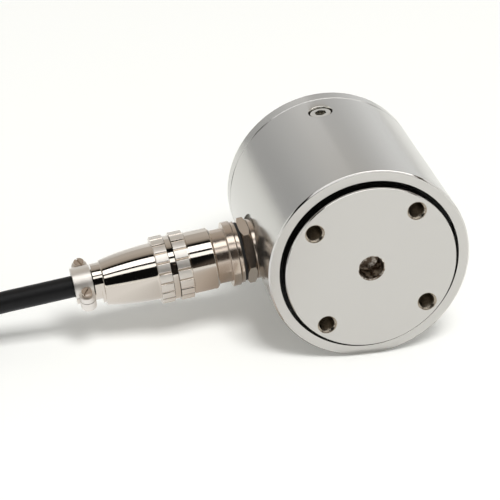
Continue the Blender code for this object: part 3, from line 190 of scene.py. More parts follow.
def new_material(name, colour, metallic, roughness):
    """A Principled material of one colour and one gloss."""
    material = bpy.data.materials.new(name)
    material.use_nodes = True
    shader = material.node_tree.nodes["Principled BSDF"]
    shader.inputs["Base Color"].default_value = srgb(colour)
    shader.inputs["Metallic"].default_value = metallic
    shader.inputs["Roughness"].default_value = roughness
    return material


def gloss_and_relief(tree, gloss_noise, glosses, relief_noise, relief):
    """One noise varies the roughness between two values, and one lifts the surface."""
    shader = tree.nodes["Principled BSDF"]
    levels = {"To Min": glosses[0], "To Max": glosses[1]}
    gloss = add_node(tree, "MapRange", levels, {"Value": gloss_noise.outputs["Fac"]})
    tree.links.new(gloss.outputs["Result"], shader.inputs["Roughness"])
    lift = {"Strength": 1.0, "Distance": relief}
    bump = add_node(tree, "Bump", lift, {"Height": relief_noise.outputs["Fac"]})
    tree.links.new(bump.outputs["Normal"], shader.inputs["Normal"])


print("orange check:", [round(value, 3) for value in srgb("#ff8000")])

# %% [markdown]
# ## Turned stainless steel
#
# A lathe leaves fine rings: around the tube's side, and in circles on the flat faces. Both come
# from one noise pattern that reads only the distance from the axis and the place along it. The
# pattern barely lifts the surface, and it makes the gloss a little uneven, as on ground steel.

# %% Turned steel
UNEVEN_WIDTH = 0.02
STEEL_GLOSSES = (0.94, 1.06)


def turned_steel(name, colour, roughness, ring_width, relief):
    """Steel with lathe rings about the body's axis and a slightly uneven gloss."""
    material = new_material(name, colour, 1.0, roughness)
    tree = material.node_tree
    place = add_node(tree, "TexCoord").outputs["Object"]
    centred = add_node(
        tree,
        "VectorMath",
        {"operation": "SUBTRACT", 1: (AXIS_X, 0.0, AXIS_Z)},
        {0: place},
    ).outputs[0]
    across = add_node(tree, "VectorMath", {"operation": "MULTIPLY", 1: (1, 0, 1)}, {0: centred})
    radius = add_node(tree, "VectorMath", {"operation": "LENGTH"}, {0: across.outputs[0]})
    split = add_node(tree, "SeparateXYZ", None, {0: centred})
    sources = {"X": radius.outputs["Value"], "Y": split.outputs["Y"]}
    rings = add_node(
        tree,
        "TexNoise",
        {"Scale": 1.0 / ring_width, "Detail": 3.0, "Roughness": 0.6},
        {"Vector": add_node(tree, "CombineXYZ", None, sources).outputs[0]},
    )
    clouds = add_node(
        tree,
        "TexNoise",
        {"Scale": 1.0 / UNEVEN_WIDTH, "Detail": 2.0, "Roughness": 0.4},
        {"Vector": place},
    )
    glosses = [roughness * share for share in STEEL_GLOSSES]
    gloss_and_relief(tree, clouds, glosses, rings, relief)
    return material


# Centreless ground stainless steel: a cool, even grey that smears reflections into soft bands.
side_steel = turned_steel("ground_tube_steel", "#cac9c6", 0.20, 0.6 * MM, 0.0006 * MM)
# Stainless steel faced on the lathe: rings 0.4 mm wide, drawn wider than the real feed marks so
# that they show, turn the gloss into a silky light grey.
face_steel = turned_steel("faced_disc_steel", "#c9c7c4", 0.32, 0.4 * MM, 0.0024 * MM)
# Polished edges: nearly a mirror, so they draw thin black and white lines.
edge_steel = turned_steel("polished_edge_steel", "#d4d2cf", 0.08, 0.6 * MM, 0.0004 * MM)
# A plain steel screw: a little brighter and glossier than the tube around it.
screw_steel = turned_steel("socket_screw_steel", "#dcdad4", 0.16, 0.5 * MM, 0.001 * MM)
print("steels:", side_steel.name, face_steel.name, edge_steel.name, screw_steel.name)

# %% [markdown]
# ## Threads, nickel, rubber and plastic
#
# The steel in a tapped hole is painted darker than the face around it, as painted shade in the
# hole. The plug is brass with nickel plate, which has a warm tint: bright on the turned shells,
# softer on the lock stack and painted darker there as painted shade, and satin on the fluted
# rings and the cable clamp. The cable's jacket is black plastic with a faint grain.

# %% Small finishes
FINISH_GLOSSES = (0.8, 1.25)


def plain_finish(name, colour, metallic, roughness, grain, relief):
    """An even colour and a slightly uneven gloss, with a grain of a width and a relief."""
    material = new_material(name, colour, metallic, roughness)
    tree = material.node_tree
    place = add_node(tree, "TexCoord")
    grains = {"Scale": 1.0 / grain, "Detail": 3.0}
    noise = add_node(tree, "TexNoise", grains, {"Vector": place.outputs["Object"]})
    glosses = [roughness * share for share in FINISH_GLOSSES]
    gloss_and_relief(tree, noise, glosses, noise, relief)
    return material


# Cut threads: steel with tool marks 0.9 mm apart, its colour painted darker as painted shade
# inside the hole.
thread_steel_painted_shade = plain_finish("tapped_hole_steel_painted_shade", "#a1988b", 1.0, 0.20, 0.9 * MM, 0.004 * MM)
# A drilled bore that was left as it came: brownish, with stains and coarse marks.
bore_steel = plain_finish("drilled_bore_steel", "#b9ada0", 1.0, 0.34, 1.3 * MM, 0.25 * MM)
# Nickel on polished brass: a warm mirror.
nickel = plain_finish("bright_nickel_plate", "#d4ccc2", 1.0, 0.06, 4.0 * MM, 0.0004 * MM)
# Nickel on turned brass with softer reflections, its colour painted darker and browner than the
# bright plate as painted shade, for the shaded floor and body that it mirrors.
soft_nickel_painted_shade = plain_finish("soft_nickel_plate_painted_shade", "#c6b9ac", 1.0, 0.20, 2.0 * MM, 0.001 * MM)
# Nickel on cast or knurled metal: pale and silky, with no clear reflections.
satin_nickel = plain_finish("satin_nickel_plate", "#e6e1da", 1.0, 0.40, 1.0 * MM, 0.002 * MM)
# Moulded black rubber: dull, with a fine grain.
rubber = plain_finish("black_gasket_rubber", "#161617", 0.0, 0.6, 0.8 * MM, 0.006 * MM)
# Woven nylon tape: black with a slight weave, 0.6 mm from thread to thread.
woven = plain_finish("black_woven_tie", "#1d1d20", 0.0, 0.7, 0.6 * MM, 0.008 * MM)
# Extruded soft vinyl: deep black, and only a faint sheen.
jacket = plain_finish("black_cable_jacket", "#0b0b0c", 0.0, 0.45, 0.7 * MM, 0.004 * MM)
# Moulded black plastic that holds the contacts.
insulator = plain_finish("black_insulator_plastic", "#26262a", 0.0, 0.45, 1.0 * MM, 0.002 * MM)
# Gold flash on turned brass contacts: warm yellow and shiny.
gold = plain_finish("gold_flashed_contact", "#e0b664", 1.0, 0.2, 1.0 * MM, 0.001 * MM)
# Amber polyimide film, which carries the strain gauges' foil.
foil = plain_finish("amber_gauge_foil", "#c98b35", 0.0, 0.35, 1.0 * MM, 0.001 * MM)
# Green lacquer on a glass fibre board.
laminate = plain_finish("green_board_laminate", "#2f6b3a", 0.0, 0.4, 1.0 * MM, 0.002 * MM)
# Vinyl of that kind mirrors less than most plastics.
jacket.node_tree.nodes["Principled BSDF"].inputs["Specular IOR Level"].default_value = 0.25

# Stains in the bore: blotches about a millimetre wide run from brown to a pale grey.
BLOTCH_WIDTH = 1.2 * MM
STAINS = ((0.42, "#6b5d50"), (0.62, "#e8e0d5"))
tree = bore_steel.node_tree
place = add_node(tree, "TexCoord")
blotches = {"Scale": 1.0 / BLOTCH_WIDTH, "Detail": 2.0}
spots = add_node(tree, "TexNoise", blotches, {"Vector": place.outputs["Object"]})
stain = add_node(tree, "ValToRGB", None, {"Fac": spots.outputs["Fac"]})
for element, (position, code) in zip(stain.color_ramp.elements, STAINS):
    element.position = position
    element.color = srgb(code)
tree.links.new(stain.outputs["Color"], tree.nodes["Principled BSDF"].inputs["Base Color"])

# Vinyl on the four cores, in the usual colours of a bridge circuit.
core_colours = {"red": "#b3262a", "black": "#141414", "green": "#2a8a45", "white": "#e4e2dc"}
cores = {
    shade: plain_finish(f"{shade}_core_insulation", code, 0.0, 0.4, 1.0 * MM, 0.001 * MM)
    for shade, code in core_colours.items()
}
print("colours of the cores:", *cores)

# %% [markdown]
# ## The cable
#
# The cable is six millimetres thick and three metres long, of which the photograph shows only
# the first twenty millimetres. It runs straight out of the clamp, and outside the view it swings
# a little aside and joins a hank, which is how a spare length is tied up for storage. The
# route's points are the ones that the solids use, and a smooth curve is read through them.

# %% Cable sizes and route
CABLE_RADIUS = 3.0 * MM
CABLE_LENGTH = 3.0
CABLE_START = 67.2 * MM
TAIL_END = 78.2 * MM
STRAIGHT_RUN = 11.5 * MM
CABLE_FALL = [
    (-0.0726, -0.0028, 0.0153),
    (-0.0837, -0.0039, 0.0137),
    (-0.0943, -0.0072, 0.0120),
]
HANK_JOINT = (-0.1040, -0.0125)
HANK_JOINT_TURN = math.radians(35.0)
HANK_FOLD_RADIUS = 24.3 * MM
HANK_COLUMNS = 3
HANK_LAYERS = 4
HANK_PITCH = 6.2 * MM
HANK_BASE = 1.1 * MM
ROUGH_SPACING = 4.0 * CABLE_RADIUS
FINE_SPACING = 1.2 * CABLE_RADIUS
CURVE_STEPS = 24


def smooth_route(points, spacing):
    """Even points along a smooth curve through the route's own points."""
    ends = [2 * points[0] - points[1], *points, 2 * points[-1] - points[-2]]
    fine = []
    for first, second, third, fourth in zip(ends, ends[1:], ends[2:], ends[3:]):
        for step in range(CURVE_STEPS):
            t = step / CURVE_STEPS
            fine.append(
                0.5
                * (
                    2 * second
                    + (third - first) * t
                    + (2 * first - 5 * second + 4 * third - fourth) * t**2
                    + (3 * second - first - 3 * third + fourth) * t**3
                )
            )
    fine.append(points[-1].copy())
    lengths = [0.0]
    for first, second in zip(fine, fine[1:]):
        lengths.append(lengths[-1] + (second - first).length)
    count = max(2, round(lengths[-1] / spacing))
    even = []
    index = 0
    for step in range(count + 1):
        goal = lengths[-1] * step / count
        while index < len(fine) - 2 and lengths[index + 1] < goal:
            index += 1
        run = lengths[index + 1] - lengths[index]
        even.append(fine[index].lerp(fine[index + 1], (goal - lengths[index]) / run))
    return even


def polyline_length(points):
    """The length of a run of points, from each to the next."""
    return sum((second - first).length for first, second in zip(points, points[1:]))


stops = (CABLE_START, TAIL_END, TAIL_END + STRAIGHT_RUN)
inside = [clamp_place @ Vector((0, 0, stop)) for stop in stops]
hank_layers = [HANK_BASE + CABLE_RADIUS + layer * HANK_PITCH for layer in range(HANK_LAYERS)]
route = inside + [Vector(place) for place in CABLE_FALL] + [Vector((*HANK_JOINT, hank_layers[1]))]
free_length = polyline_length(smooth_route(route, ROUGH_SPACING))
print("free run of the cable in mm:", round(free_length * 1000, 1))

# %% [markdown]
# A hank is wound like thread on a card: two straight runs with a round fold at each end. Its
# turns lie in three columns and four layers, one diameter apart. Each lap keeps its seat along
# the runs and steps over to the next seat in the near fold, so that the ties hold tidy bundles.

# %% Hank path
LAP_SPACING = 6.0 * MM
STEP_LENGTH = 35.0 * MM
EARLY_STEP = -2.0 * MM
LATE_STEP = 6.0 * MM
FIRST_EARLY_LAP = 7
SEATS = (
    (1, 2), (1, 1), (2, 1), (3, 1), (3, 2), (2, 2),
    (1, 3), (2, 3), (3, 3), (3, 4), (2, 4), (1, 4),
)

fold = math.pi * HANK_FOLD_RADIUS
outer_turn = HANK_FOLD_RADIUS + (HANK_COLUMNS - 1) / 2 * HANK_PITCH
top_fold = fold + HANK_JOINT_TURN * HANK_FOLD_RADIUS
spare = CABLE_LENGTH - free_length - 2 * len(SEATS) * fold - top_fold
straight = spare / (2 * len(SEATS) + 1)
lap = 2 * (fold + straight)
joint_run = fold - HANK_JOINT_TURN * HANK_FOLD_RADIUS
joint_angle = HANK_JOINT_TURN - math.pi / 2
hank_middle = Vector(
    (
        HANK_JOINT[0] - outer_turn * math.cos(joint_angle) - straight / 2,
        HANK_JOINT[1] - outer_turn * math.sin(joint_angle),
        0.0,
    )
)


def smoothstep(value):
    """Runs from 0 to 1 with an easy start and end."""
    value = min(1.0, max(0.0, value))
    return value * value * (3 - 2 * value)


def hank_station(run):
    """The fold's middle and the direction outwards, clockwise from the right fold's start."""
    if run < fold:
        return straight / 2, math.pi / 2 - run / HANK_FOLD_RADIUS
    if run < fold + straight:
        return straight / 2 - (run - fold), -math.pi / 2
    if run < 2 * fold + straight:
        return -straight / 2, -math.pi / 2 - (run - fold - straight) / HANK_FOLD_RADIUS
    return run - 2 * fold - 1.5 * straight, -1.5 * math.pi


seat_places = [
    (outer_turn - (column - 1) * HANK_PITCH, hank_layers[layer - 1]) for column, layer in SEATS
]
seat_places.append((HANK_FOLD_RADIUS, hank_layers[-1] + 2 * CABLE_RADIUS + FIT_GAP))
wound = len(SEATS) * lap + (2 * fold + straight - joint_run)
hank_points = []
lap_steps = round(wound / LAP_SPACING)
for index in range(lap_steps + 1):
    run = joint_run + wound * index / lap_steps
    whole = int(run // lap)
    into = run - whole * lap
    if into > lap + EARLY_STEP:
        whole += 1
        into -= lap
    step = EARLY_STEP if whole >= FIRST_EARLY_LAP else LATE_STEP
    change = smoothstep((into - step) / STEP_LENGTH) if whole > 0 else 1.0
    earlier = seat_places[max(whole - 1, 0)]
    later = seat_places[min(whole, len(seat_places) - 1)]
    radius = earlier[0] + (later[0] - earlier[0]) * change
    height = earlier[1] + (later[1] - earlier[1]) * change
    middle, angle = hank_station(into % lap)
    place = Vector((middle + radius * math.cos(angle), radius * math.sin(angle), height))
    hank_points.append(hank_middle + place)
free_points = smooth_route(route, FINE_SPACING)
cable_points = free_points[:-1] + hank_points
print("laps:", round(wound / lap, 2), "length in m:", round(polyline_length(cable_points), 3))

# %% [markdown]
# The cable is one curve with a round section. It stands for three solids: the tube that leaves
# the clamp, the hank and its end. The leads and the ties lie on it.

# %% Cable curve
cable_curve = bpy.data.curves.new("signal_cable", "CURVE")
cable_curve.dimensions = "3D"
cable_curve.bevel_depth = CABLE_RADIUS
cable_curve.bevel_resolution = 6
cable_curve.use_fill_caps = True
spline = cable_curve.splines.new("POLY")
spline.points.add(len(cable_points) - 1)
for point, place in zip(spline.points, cable_points):
    point.co = (*place, 1.0)
spline.use_smooth = True
cable_curve.materials.append(jacket)
cable = linked("signal_cable", cable_curve)
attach(cable, "root")
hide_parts("cable_tube", "cable_hank", "cable_end")
on_cable = [nodes[f"end_lead_{index}"] for index in range(1, 5)]
on_cable += [nodes["hank_tie_1"], nodes["hank_tie_2"]]
print("cable points:", len(cable_points))

# %% [markdown]
# ## Modelling helpers
#
# Nearly every piece here comes off a lathe, so one helper spins half a section about Z. A second
# breaks its sharp edges with a small bevel, because a real edge always catches a line of light.

# %% Spin and bevel
BODY_STEPS = 256
PLUG_STEPS = 160
SCREW_STEPS = 64
HOLE_STEPS = 40
POLE_WELD = 0.0001 * MM
EDGE_BREAK = 0.10 * MM
SHARP_TURN = math.radians(40.0)


def spun(profile, steps=PLUG_STEPS):
    """Turns (radius, height) points about Z. A section that starts off the axis is closed."""
    shape = bmesh.new()
    points = [shape.verts.new((radius, 0.0, height)) for radius, height in profile]
    edges = [shape.edges.new(pair) for pair in zip(points, points[1:])]
    if profile[0][0] > 0.0:
        edges.append(shape.edges.new((points[-1], points[0])))
    bmesh.ops.spin(
        shape,
        geom=points + edges,
        cent=(0.0, 0.0, 0.0),
        axis=(0.0, 0.0, 1.0),
        angle=2 * math.pi,
        steps=steps,
        use_merge=True,
    )
    bmesh.ops.remove_doubles(shape, verts=shape.verts, dist=POLE_WELD)
    bmesh.ops.recalc_face_normals(shape, faces=shape.faces)
    return shape


def break_edges(shape, width=EDGE_BREAK):
    """Bevels every edge that turns sharply."""
    sharp = [
        edge
        for edge in shape.edges
        if edge.is_manifold and edge.calc_face_angle() > SHARP_TURN
    ]
    bmesh.ops.bevel(
        shape,
        geom=sharp,
        offset=width,
        segments=2,
        profile=0.5,
        affect="EDGES",
        material=-1,
        clamp_overlap=True,
    )
    return shape


print("steps round the body and the plug:", BODY_STEPS, PLUG_STEPS)

# %% [markdown]
# A turned piece then gets its holes, flats and grooves. Boolean cuts do this as a drill or a mill
# does: the tool is a shape of its own, and the cut face takes the tool's finish.

# %% Place and cut
WELD = 0.001 * MM


def moved(shape, matrix):
    """The same shape, where the matrix puts it."""
    bmesh.ops.transform(shape, matrix=matrix, verts=shape.verts)
    return shape


def placed(name, shape, matrix, *materials):
    """An object at the origin whose mesh lies where the matrix puts it."""
    mesh = bpy.data.meshes.new(name)
    moved(shape, matrix).to_mesh(mesh)
    shape.free()
    for material in materials:
        mesh.materials.append(material)
    return linked(name, mesh)


def combine(piece, name, shape, matrix, finish, operation="DIFFERENCE"):
    """Cuts a tool out of a piece, joins the two, or keeps what they have in common.

    The result is welded, because the next cut needs a closed surface.
    """
    tool = placed(name, shape, matrix, finish)
    modifier = piece.modifiers.new("combine", "BOOLEAN")
    modifier.operation = operation
    modifier.solver = "EXACT"
    modifier.material_mode = "TRANSFER"
    modifier.object = tool
    evaluated = piece.evaluated_get(bpy.context.evaluated_depsgraph_get())
    result = bpy.data.meshes.new_from_object(evaluated)
    welded = bmesh.new()
    welded.from_mesh(result)
    bmesh.ops.remove_doubles(welded, verts=welded.verts, dist=WELD)
    bmesh.ops.dissolve_degenerate(welded, dist=WELD, edges=welded.edges)
    open_edges = sum(len(edge.link_faces) != 2 for edge in welded.edges)
    volume = welded.calc_volume() / MM**3
    print(f"{piece.name} after {name}: {volume:.1f} mm3, open edges: {open_edges}")
    welded.to_mesh(result)
    welded.free()
    piece.modifiers.clear()
    piece.data = result
    bpy.data.objects.remove(tool, do_unlink=True)


print("cuts are welded within", WELD / MM, "mm")

# %% [markdown]
# A finished piece shades smoothly, but its flat faces stay flat. It then takes the place of its
# solid in the frame.

# %% Finish a piece
FLAT_LIMIT = math.radians(0.25)


def merge_flats(piece):
    """Makes one face of each run of coplanar faces, so that a flat face shades evenly."""
    shape = bmesh.new()
    shape.from_mesh(piece.data)
    bmesh.ops.dissolve_limit(
        shape,
        angle_limit=FLAT_LIMIT,
        use_dissolve_boundaries=False,
        verts=shape.verts,
        edges=shape.edges,
        delimit={"MATERIAL"},
    )
    shape.to_mesh(piece.data)
    shape.free()


def finished(piece, replaced, sharp=50.0):
    """Shades a piece with edges sharp from an angle in degrees, and joins it to the frame."""
    merge_flats(piece)
    piece.data.shade_smooth()
    piece.data.set_sharp_from_angle(angle=math.radians(sharp))
    weighted = piece.modifiers.new("even_normals", "WEIGHTED_NORMAL")
    weighted.keep_sharp = True
    weighted.weight = 100
    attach(piece, "root")
    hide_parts(replaced)
    print(piece.name, "faces:", len(piece.data.polygons))


print("faces within", round(math.degrees(FLAT_LIMIT), 2), "degrees become one")

# %% [markdown]
# The outlines are plain steps, arcs and circles, and the tools that aren't turned are blocks and
# extruded outlines.

# %% Outlines and plain shapes
def stepped(*sizes):
    """A section of plain steps: a radius and a height to start, then each in turn."""
    points = [sizes[:2]]
    for index, size in enumerate(sizes[2:]):
        radius, height = points[-1]
        points.append((radius, size) if index % 2 else (size, height))
    return points


def bar(radius, low, high, steps=PLUG_STEPS):
    """A plain round bar, or the drill for one."""
    return spun(stepped(0.0, low, radius, high, 0.0), steps)


def arc(centre, radius, start, end, steps):
    """Points along an arc, both ends included."""
    angles = [start + (end - start) * step / steps for step in range(steps + 1)]
    return [(centre[0] + radius * math.cos(a), centre[1] + radius * math.sin(a)) for a in angles]


def on_circle(radius, count, turn, height=0.0):
    """Evenly spaced places on a circle about Z."""
    angles = [turn + 2 * math.pi * index / count for index in range(count)]
    return [Vector((radius * math.cos(a), radius * math.sin(a), height)) for a in angles]


def extruded(outline, rise):
    """A closed shape that an outline sweeps along the vector rise."""
    shape = bmesh.new()
    face = shape.faces.new([shape.verts.new(point) for point in outline])
    made = bmesh.ops.extrude_face_region(shape, geom=[face])
    top = [item for item in made["geom"] if isinstance(item, bmesh.types.BMVert)]
    bmesh.ops.translate(shape, vec=rise, verts=top)
    bmesh.ops.recalc_face_normals(shape, faces=shape.faces)
    return shape


def block(low, high, matrix=Matrix.Identity(4)):
    """A block between two corners."""
    shape = bmesh.new()
    bmesh.ops.create_cube(shape, size=1.0)
    bmesh.ops.scale(shape, vec=Vector(high) - Vector(low), verts=shape.verts)
    bmesh.ops.translate(shape, vec=(Vector(high) + Vector(low)) / 2, verts=shape.verts)
    return moved(shape, matrix)


def joined(shapes):
    """Several shapes as one."""
    whole = bmesh.new()
    for shape in shapes:
        part = bpy.data.meshes.new("part")
        shape.to_mesh(part)
        shape.free()
        whole.from_mesh(part)
        bpy.data.meshes.remove(part)
    return whole


print("points in a bar's section:", len(stepped(0.0, 0.0, 1.0, 1.0, 0.0)))

# %% [markdown]
# ## Tapped holes
#
# Through the mouth of a tapped hole the crests of the thread show as bright lines. Rings with
# a V section at the thread's pitch look the same from outside as the true helix, and they stay a
# clean closed tool for the cut. The mouth has a small chamfer.

# %% Thread tool
DRILL_POINT = math.radians(118.0)
CREST_FLAT = 0.12
HOLE_CHAMFER = 0.28 * MM
BOLT_THREAD = (2.15 * MM, 2.45 * MM, 0.8 * MM)
CENTRE_THREAD = (3.30 * MM, 3.45 * MM, 1.0 * MM)


def tap(thread, mouth, depth):
    """The drill that a thread's crest radius, root radius and pitch ask for."""
    crest, root, pitch = thread
    floor = mouth - depth
    profile = [(0.0, floor - crest / math.tan(DRILL_POINT / 2)), (crest, floor)]
    height = floor + pitch / 2
    while height + pitch < mouth - HOLE_CHAMFER:
        profile += [
            (crest, height + pitch * CREST_FLAT),
            (root, height + pitch / 2),
            (crest, height + pitch * (1 - CREST_FLAT)),
        ]
        height += pitch
    profile += [
        (root, mouth - HOLE_CHAMFER),
        (root + HOLE_CHAMFER, mouth),
        (root + HOLE_CHAMFER, mouth + root),
        (0.0, mouth + root),
    ]
    return profile


print("points in one tap's section:", len(tap(BOLT_THREAD, 0.0, 8.0 * MM)))

# %% [markdown]
# ## The spring element
#
# One bar is turned into the loading disc, the column that carries the strain gauges, a spigot
# and the base flange. Only the disc and the flange show. The disc's side is polished, so its
# faces there take a glossier steel than the loading face.

# %% Spring element
FILLET_STEPS = 6
FLAT_FACING = 0.98

rear = -BODY_LENGTH
flange_front = -(BODY_LENGTH - BASE_FLANGE_THICKNESS)
spigot_top = flange_front + SPIGOT_HEIGHT
disc_back = DISC_PROUD - DISC_THICKNESS
fillet_centre = COLUMN_RADIUS + COLUMN_FILLET
upper_fillet = (fillet_centre, disc_back - COLUMN_FILLET)
lower_fillet = (fillet_centre, spigot_top + COLUMN_FILLET)
profile = [
    (0.0, DISC_PROUD),
    (DISC_RADIUS - DISC_CHAMFER, DISC_PROUD),
    (DISC_RADIUS, DISC_PROUD - DISC_CHAMFER_DEPTH),
    (DISC_RADIUS, disc_back),
]
profile += arc(upper_fillet, COLUMN_FILLET, math.pi / 2, math.pi, FILLET_STEPS)
profile += arc(lower_fillet, COLUMN_FILLET, math.pi, 1.5 * math.pi, FILLET_STEPS)
profile += [
    (SPIGOT_RADIUS, spigot_top),
    (SPIGOT_RADIUS, flange_front),
    (BODY_RADIUS - SEAM_CHAMFER, flange_front),
    (BODY_RADIUS, flange_front - SEAM_CHAMFER),
    (BODY_RADIUS, rear + BASE_CHAMFER),
    (BODY_RADIUS - BASE_CHAMFER, rear),
    (0.0, rear),
]
shape = break_edges(spun(profile, BODY_STEPS), width=0.06 * MM)
for face in shape.faces:
    middle = face.calc_center_median()
    around = math.hypot(middle.x, middle.y)
    if abs(face.normal.z) > FLAT_FACING:
        face.material_index = 1
    elif DISC_RADIUS - DISC_CHAMFER < around < MOUTH_RADIUS and middle.z > disc_back:
        face.material_index = 2
element = placed("loading_disc", shape, body_place, side_steel, face_steel, edge_steel)
print("length of the column in mm:", round((disc_back - spigot_top) / MM, 2))

# %% [markdown]
# The gauges are glued to four flats that are milled along the column.

# %% Flats on the column
FLAT_OFFSET = 8.5 * MM
FLAT_LENGTH = 17.0 * MM
FLAT_HALF_WIDTH = 6.0 * MM

column_middle = (disc_back + spigot_top) / 2
mill_low = (FLAT_OFFSET, -FLAT_HALF_WIDTH, column_middle - FLAT_LENGTH / 2)
mill_high = (fillet_centre, FLAT_HALF_WIDTH, column_middle + FLAT_LENGTH / 2)
quarter_turns = [Matrix.Rotation(index * math.pi / 2, 4, "Z") for index in range(4)]
mills = joined([block(mill_low, mill_high, turn) for turn in quarter_turns])
combine(element, "flat_mills", mills, body_place, side_steel)

# %% [markdown]
# The side screw's hole goes through the tube into the spigot, so the same drill cuts both.

# %% Side drill
SIDE_SCREW_RADIUS = 3.0 * MM
SIDE_SCREW_LENGTH = 9.0 * MM
SIDE_SCREW_SUNK = 0.5 * MM
SIDE_SCREW_SET_BACK = 41.4 * MM
SIDE_CHAMFER = 0.4 * MM
side_place = body_place @ radial_matrix(math.pi / 2, SIDE_SCREW_SET_BACK)


def side_drill():
    """The side screw's drill, with the countersink at the tube's surface."""
    radius = SIDE_SCREW_RADIUS + FIT_GAP
    floor = BODY_RADIUS - SIDE_SCREW_SUNK - SIDE_SCREW_LENGTH - FIT_GAP
    profile = [
        (0.0, floor),
        (radius, floor),
        (radius, BODY_RADIUS - SIDE_CHAMFER),
        (radius + 2 * SIDE_CHAMFER, BODY_RADIUS + SIDE_CHAMFER),
        (0.0, BODY_RADIUS + SIDE_CHAMFER),
    ]
    return spun(profile, SCREW_STEPS)


combine(element, "side_drill", side_drill(), side_place, screw_steel)

# %% [markdown]
# The disc and the base have the same four bolt holes, and the disc one larger hole in its middle.

# %% Holes in the disc and the base
BOLT_CIRCLE_RADIUS = 20.0 * MM
BOLT_HOLE_COUNT = 4
BOLT_HOLE_TURN = math.radians(45.0)
BOLT_DEPTH = 8.0 * MM
CENTRE_DEPTH = 6.0 * MM

rear_face = Matrix.Translation((0, 0, rear)) @ Matrix.Rotation(math.pi, 4, "X")
taps = []
for place in on_circle(BOLT_CIRCLE_RADIUS, BOLT_HOLE_COUNT, BOLT_HOLE_TURN):
    to_hole = Matrix.Translation(place)
    front = spun(tap(BOLT_THREAD, DISC_PROUD, BOLT_DEPTH), HOLE_STEPS)
    back = spun(tap(BOLT_THREAD, 0.0, BOLT_DEPTH), HOLE_STEPS)
    taps += [moved(front, to_hole), moved(back, rear_face @ to_hole)]
# The tapped holes take the thread steel whose colour is painted darker as painted shade.
combine(element, "bolt_taps", joined(taps), body_place, thread_steel_painted_shade)
centre_tap = spun(tap(CENTRE_THREAD, DISC_PROUD, CENTRE_DEPTH), SCREW_STEPS)
combine(element, "centre_tap", centre_tap, body_place, bore_steel)
finished(element, "spring_element")

# %% [markdown]
# ## The sleeve
#
# The tube is counterbored at its mouth, where a black gap shows around the disc. A flat is
# spotfaced into its side for the plug. Its ends carry the small chamfers that draw thin bright
# and dark lines in the photograph.

# %% Sleeve
SPOTFACE = 26.4 * MM
SPOTFACE_RADIUS = 9.6 * MM
SHANK_RADIUS = 6.0 * MM
SHANK_END = 18.3 * MM
CHAMFER_FACING = 0.3

sleeve_end = flange_front + SEAT_GAP
profile = [
    (SLEEVE_BORE, sleeve_end),
    (BODY_RADIUS - SEAM_CHAMFER, sleeve_end),
    (BODY_RADIUS, sleeve_end + SEAM_CHAMFER),
    (BODY_RADIUS, -RIM_CHAMFER),
    (BODY_RADIUS - RIM_CHAMFER, 0.0),
    (MOUTH_RADIUS, 0.0),
    (MOUTH_RADIUS, -MOUTH_DEPTH),
    (SLEEVE_BORE, -MOUTH_DEPTH),
]
shape = break_edges(spun(profile, BODY_STEPS), width=0.08 * MM)
for face in shape.faces:
    if abs(face.normal.z) > FLAT_FACING:
        face.material_index = 1
    elif abs(face.normal.z) > CHAMFER_FACING:
        face.material_index = 2
sleeve = placed("sleeve_tube", shape, body_place, side_steel, face_steel, edge_steel)
shank_hole = SHANK_RADIUS + FIT_GAP
outside = BODY_RADIUS + FIT_GAP
profile = stepped(0.0, SHANK_END, shank_hole, SPOTFACE, SPOTFACE_RADIUS, outside, 0.0)
combine(sleeve, "spotface", spun(profile), plug_place, side_steel)
combine(sleeve, "side_drill", side_drill(), side_place, screw_steel)
finished(sleeve, "housing_sleeve")

# %% [markdown]
# ## The side screw
#
# A short hexagon socket screw sits just below the tube's surface. Its socket and the lock nut
# further on are the same plain prism.

# %% Side screw
SOCKET_WIDTH = 3.0 * MM
SOCKET_DEPTH = 3.0 * MM


def corner_radius(across_flats):
    """How far a hexagon's corners are from its middle."""
    return across_flats / 2 / math.cos(math.pi / 6)


def hexagon(across_flats, low, high, turn=0.0):
    """A hexagonal prism about Z with a corner at the angle turn."""
    corners = on_circle(corner_radius(across_flats), 6, turn, low)
    return extruded(corners, (0.0, 0.0, high - low))


screw_top = BODY_RADIUS - SIDE_SCREW_SUNK
shape = bar(SIDE_SCREW_RADIUS, screw_top - SIDE_SCREW_LENGTH, screw_top, SCREW_STEPS)
break_edges(shape, width=0.35 * MM)
side_screw = placed("side_socket_screw", shape, side_place, screw_steel)
socket = hexagon(SOCKET_WIDTH, screw_top - SOCKET_DEPTH, screw_top + SOCKET_DEPTH)
combine(side_screw, "socket", socket, side_place, screw_steel)
finished(side_screw, "side_screw", sharp=30.0)

# %% [markdown]
# ## The lock stack
#
# From the flat outwards come a lock washer, a thin hexagon nut with turned corners, a black
# gasket and a flange washer. Each ring has an outer radius and two heights, in millimetres.

# %% Washers and gasket
PLUG_BREAK = 0.15 * MM
# The nickel rings here take the plate whose colour is painted darker as painted shade.
STACK = (
    ("lock_washer_plate", "lock_washer", 8.4, 26.5, 28.0, soft_nickel_painted_shade, "nickel"),
    ("gasket_ring", "flange_gasket", 8.2, 30.85, 31.45, rubber, "rubber"),
    ("flange_washer_plate", "flange_washer", 8.6, 31.55, 32.65, soft_nickel_painted_shade, "nickel"),
)
for name, node, *sizes, finish, slot in STACK:
    outer, low, high = (size * MM for size in sizes)
    profile = stepped(shank_hole, low, outer, high, shank_hole)
    shape = break_edges(spun(profile), PLUG_BREAK)
    finished(placed(name, shape, plug_place, finish), node)

# %% [markdown]
# The nut is the common part of a hexagon and a turned blank, which is also how it is made.

# %% Lock nut
NUT_LOW = 28.1 * MM
NUT_HIGH = 30.75 * MM
NUT_FLATS = 16.0 * MM
NUT_CHAMFER_RADIUS = 8.2 * MM
NUT_CHAMFER_SLOPE = math.radians(30.0)
NUT_TURN = math.radians(54.5)

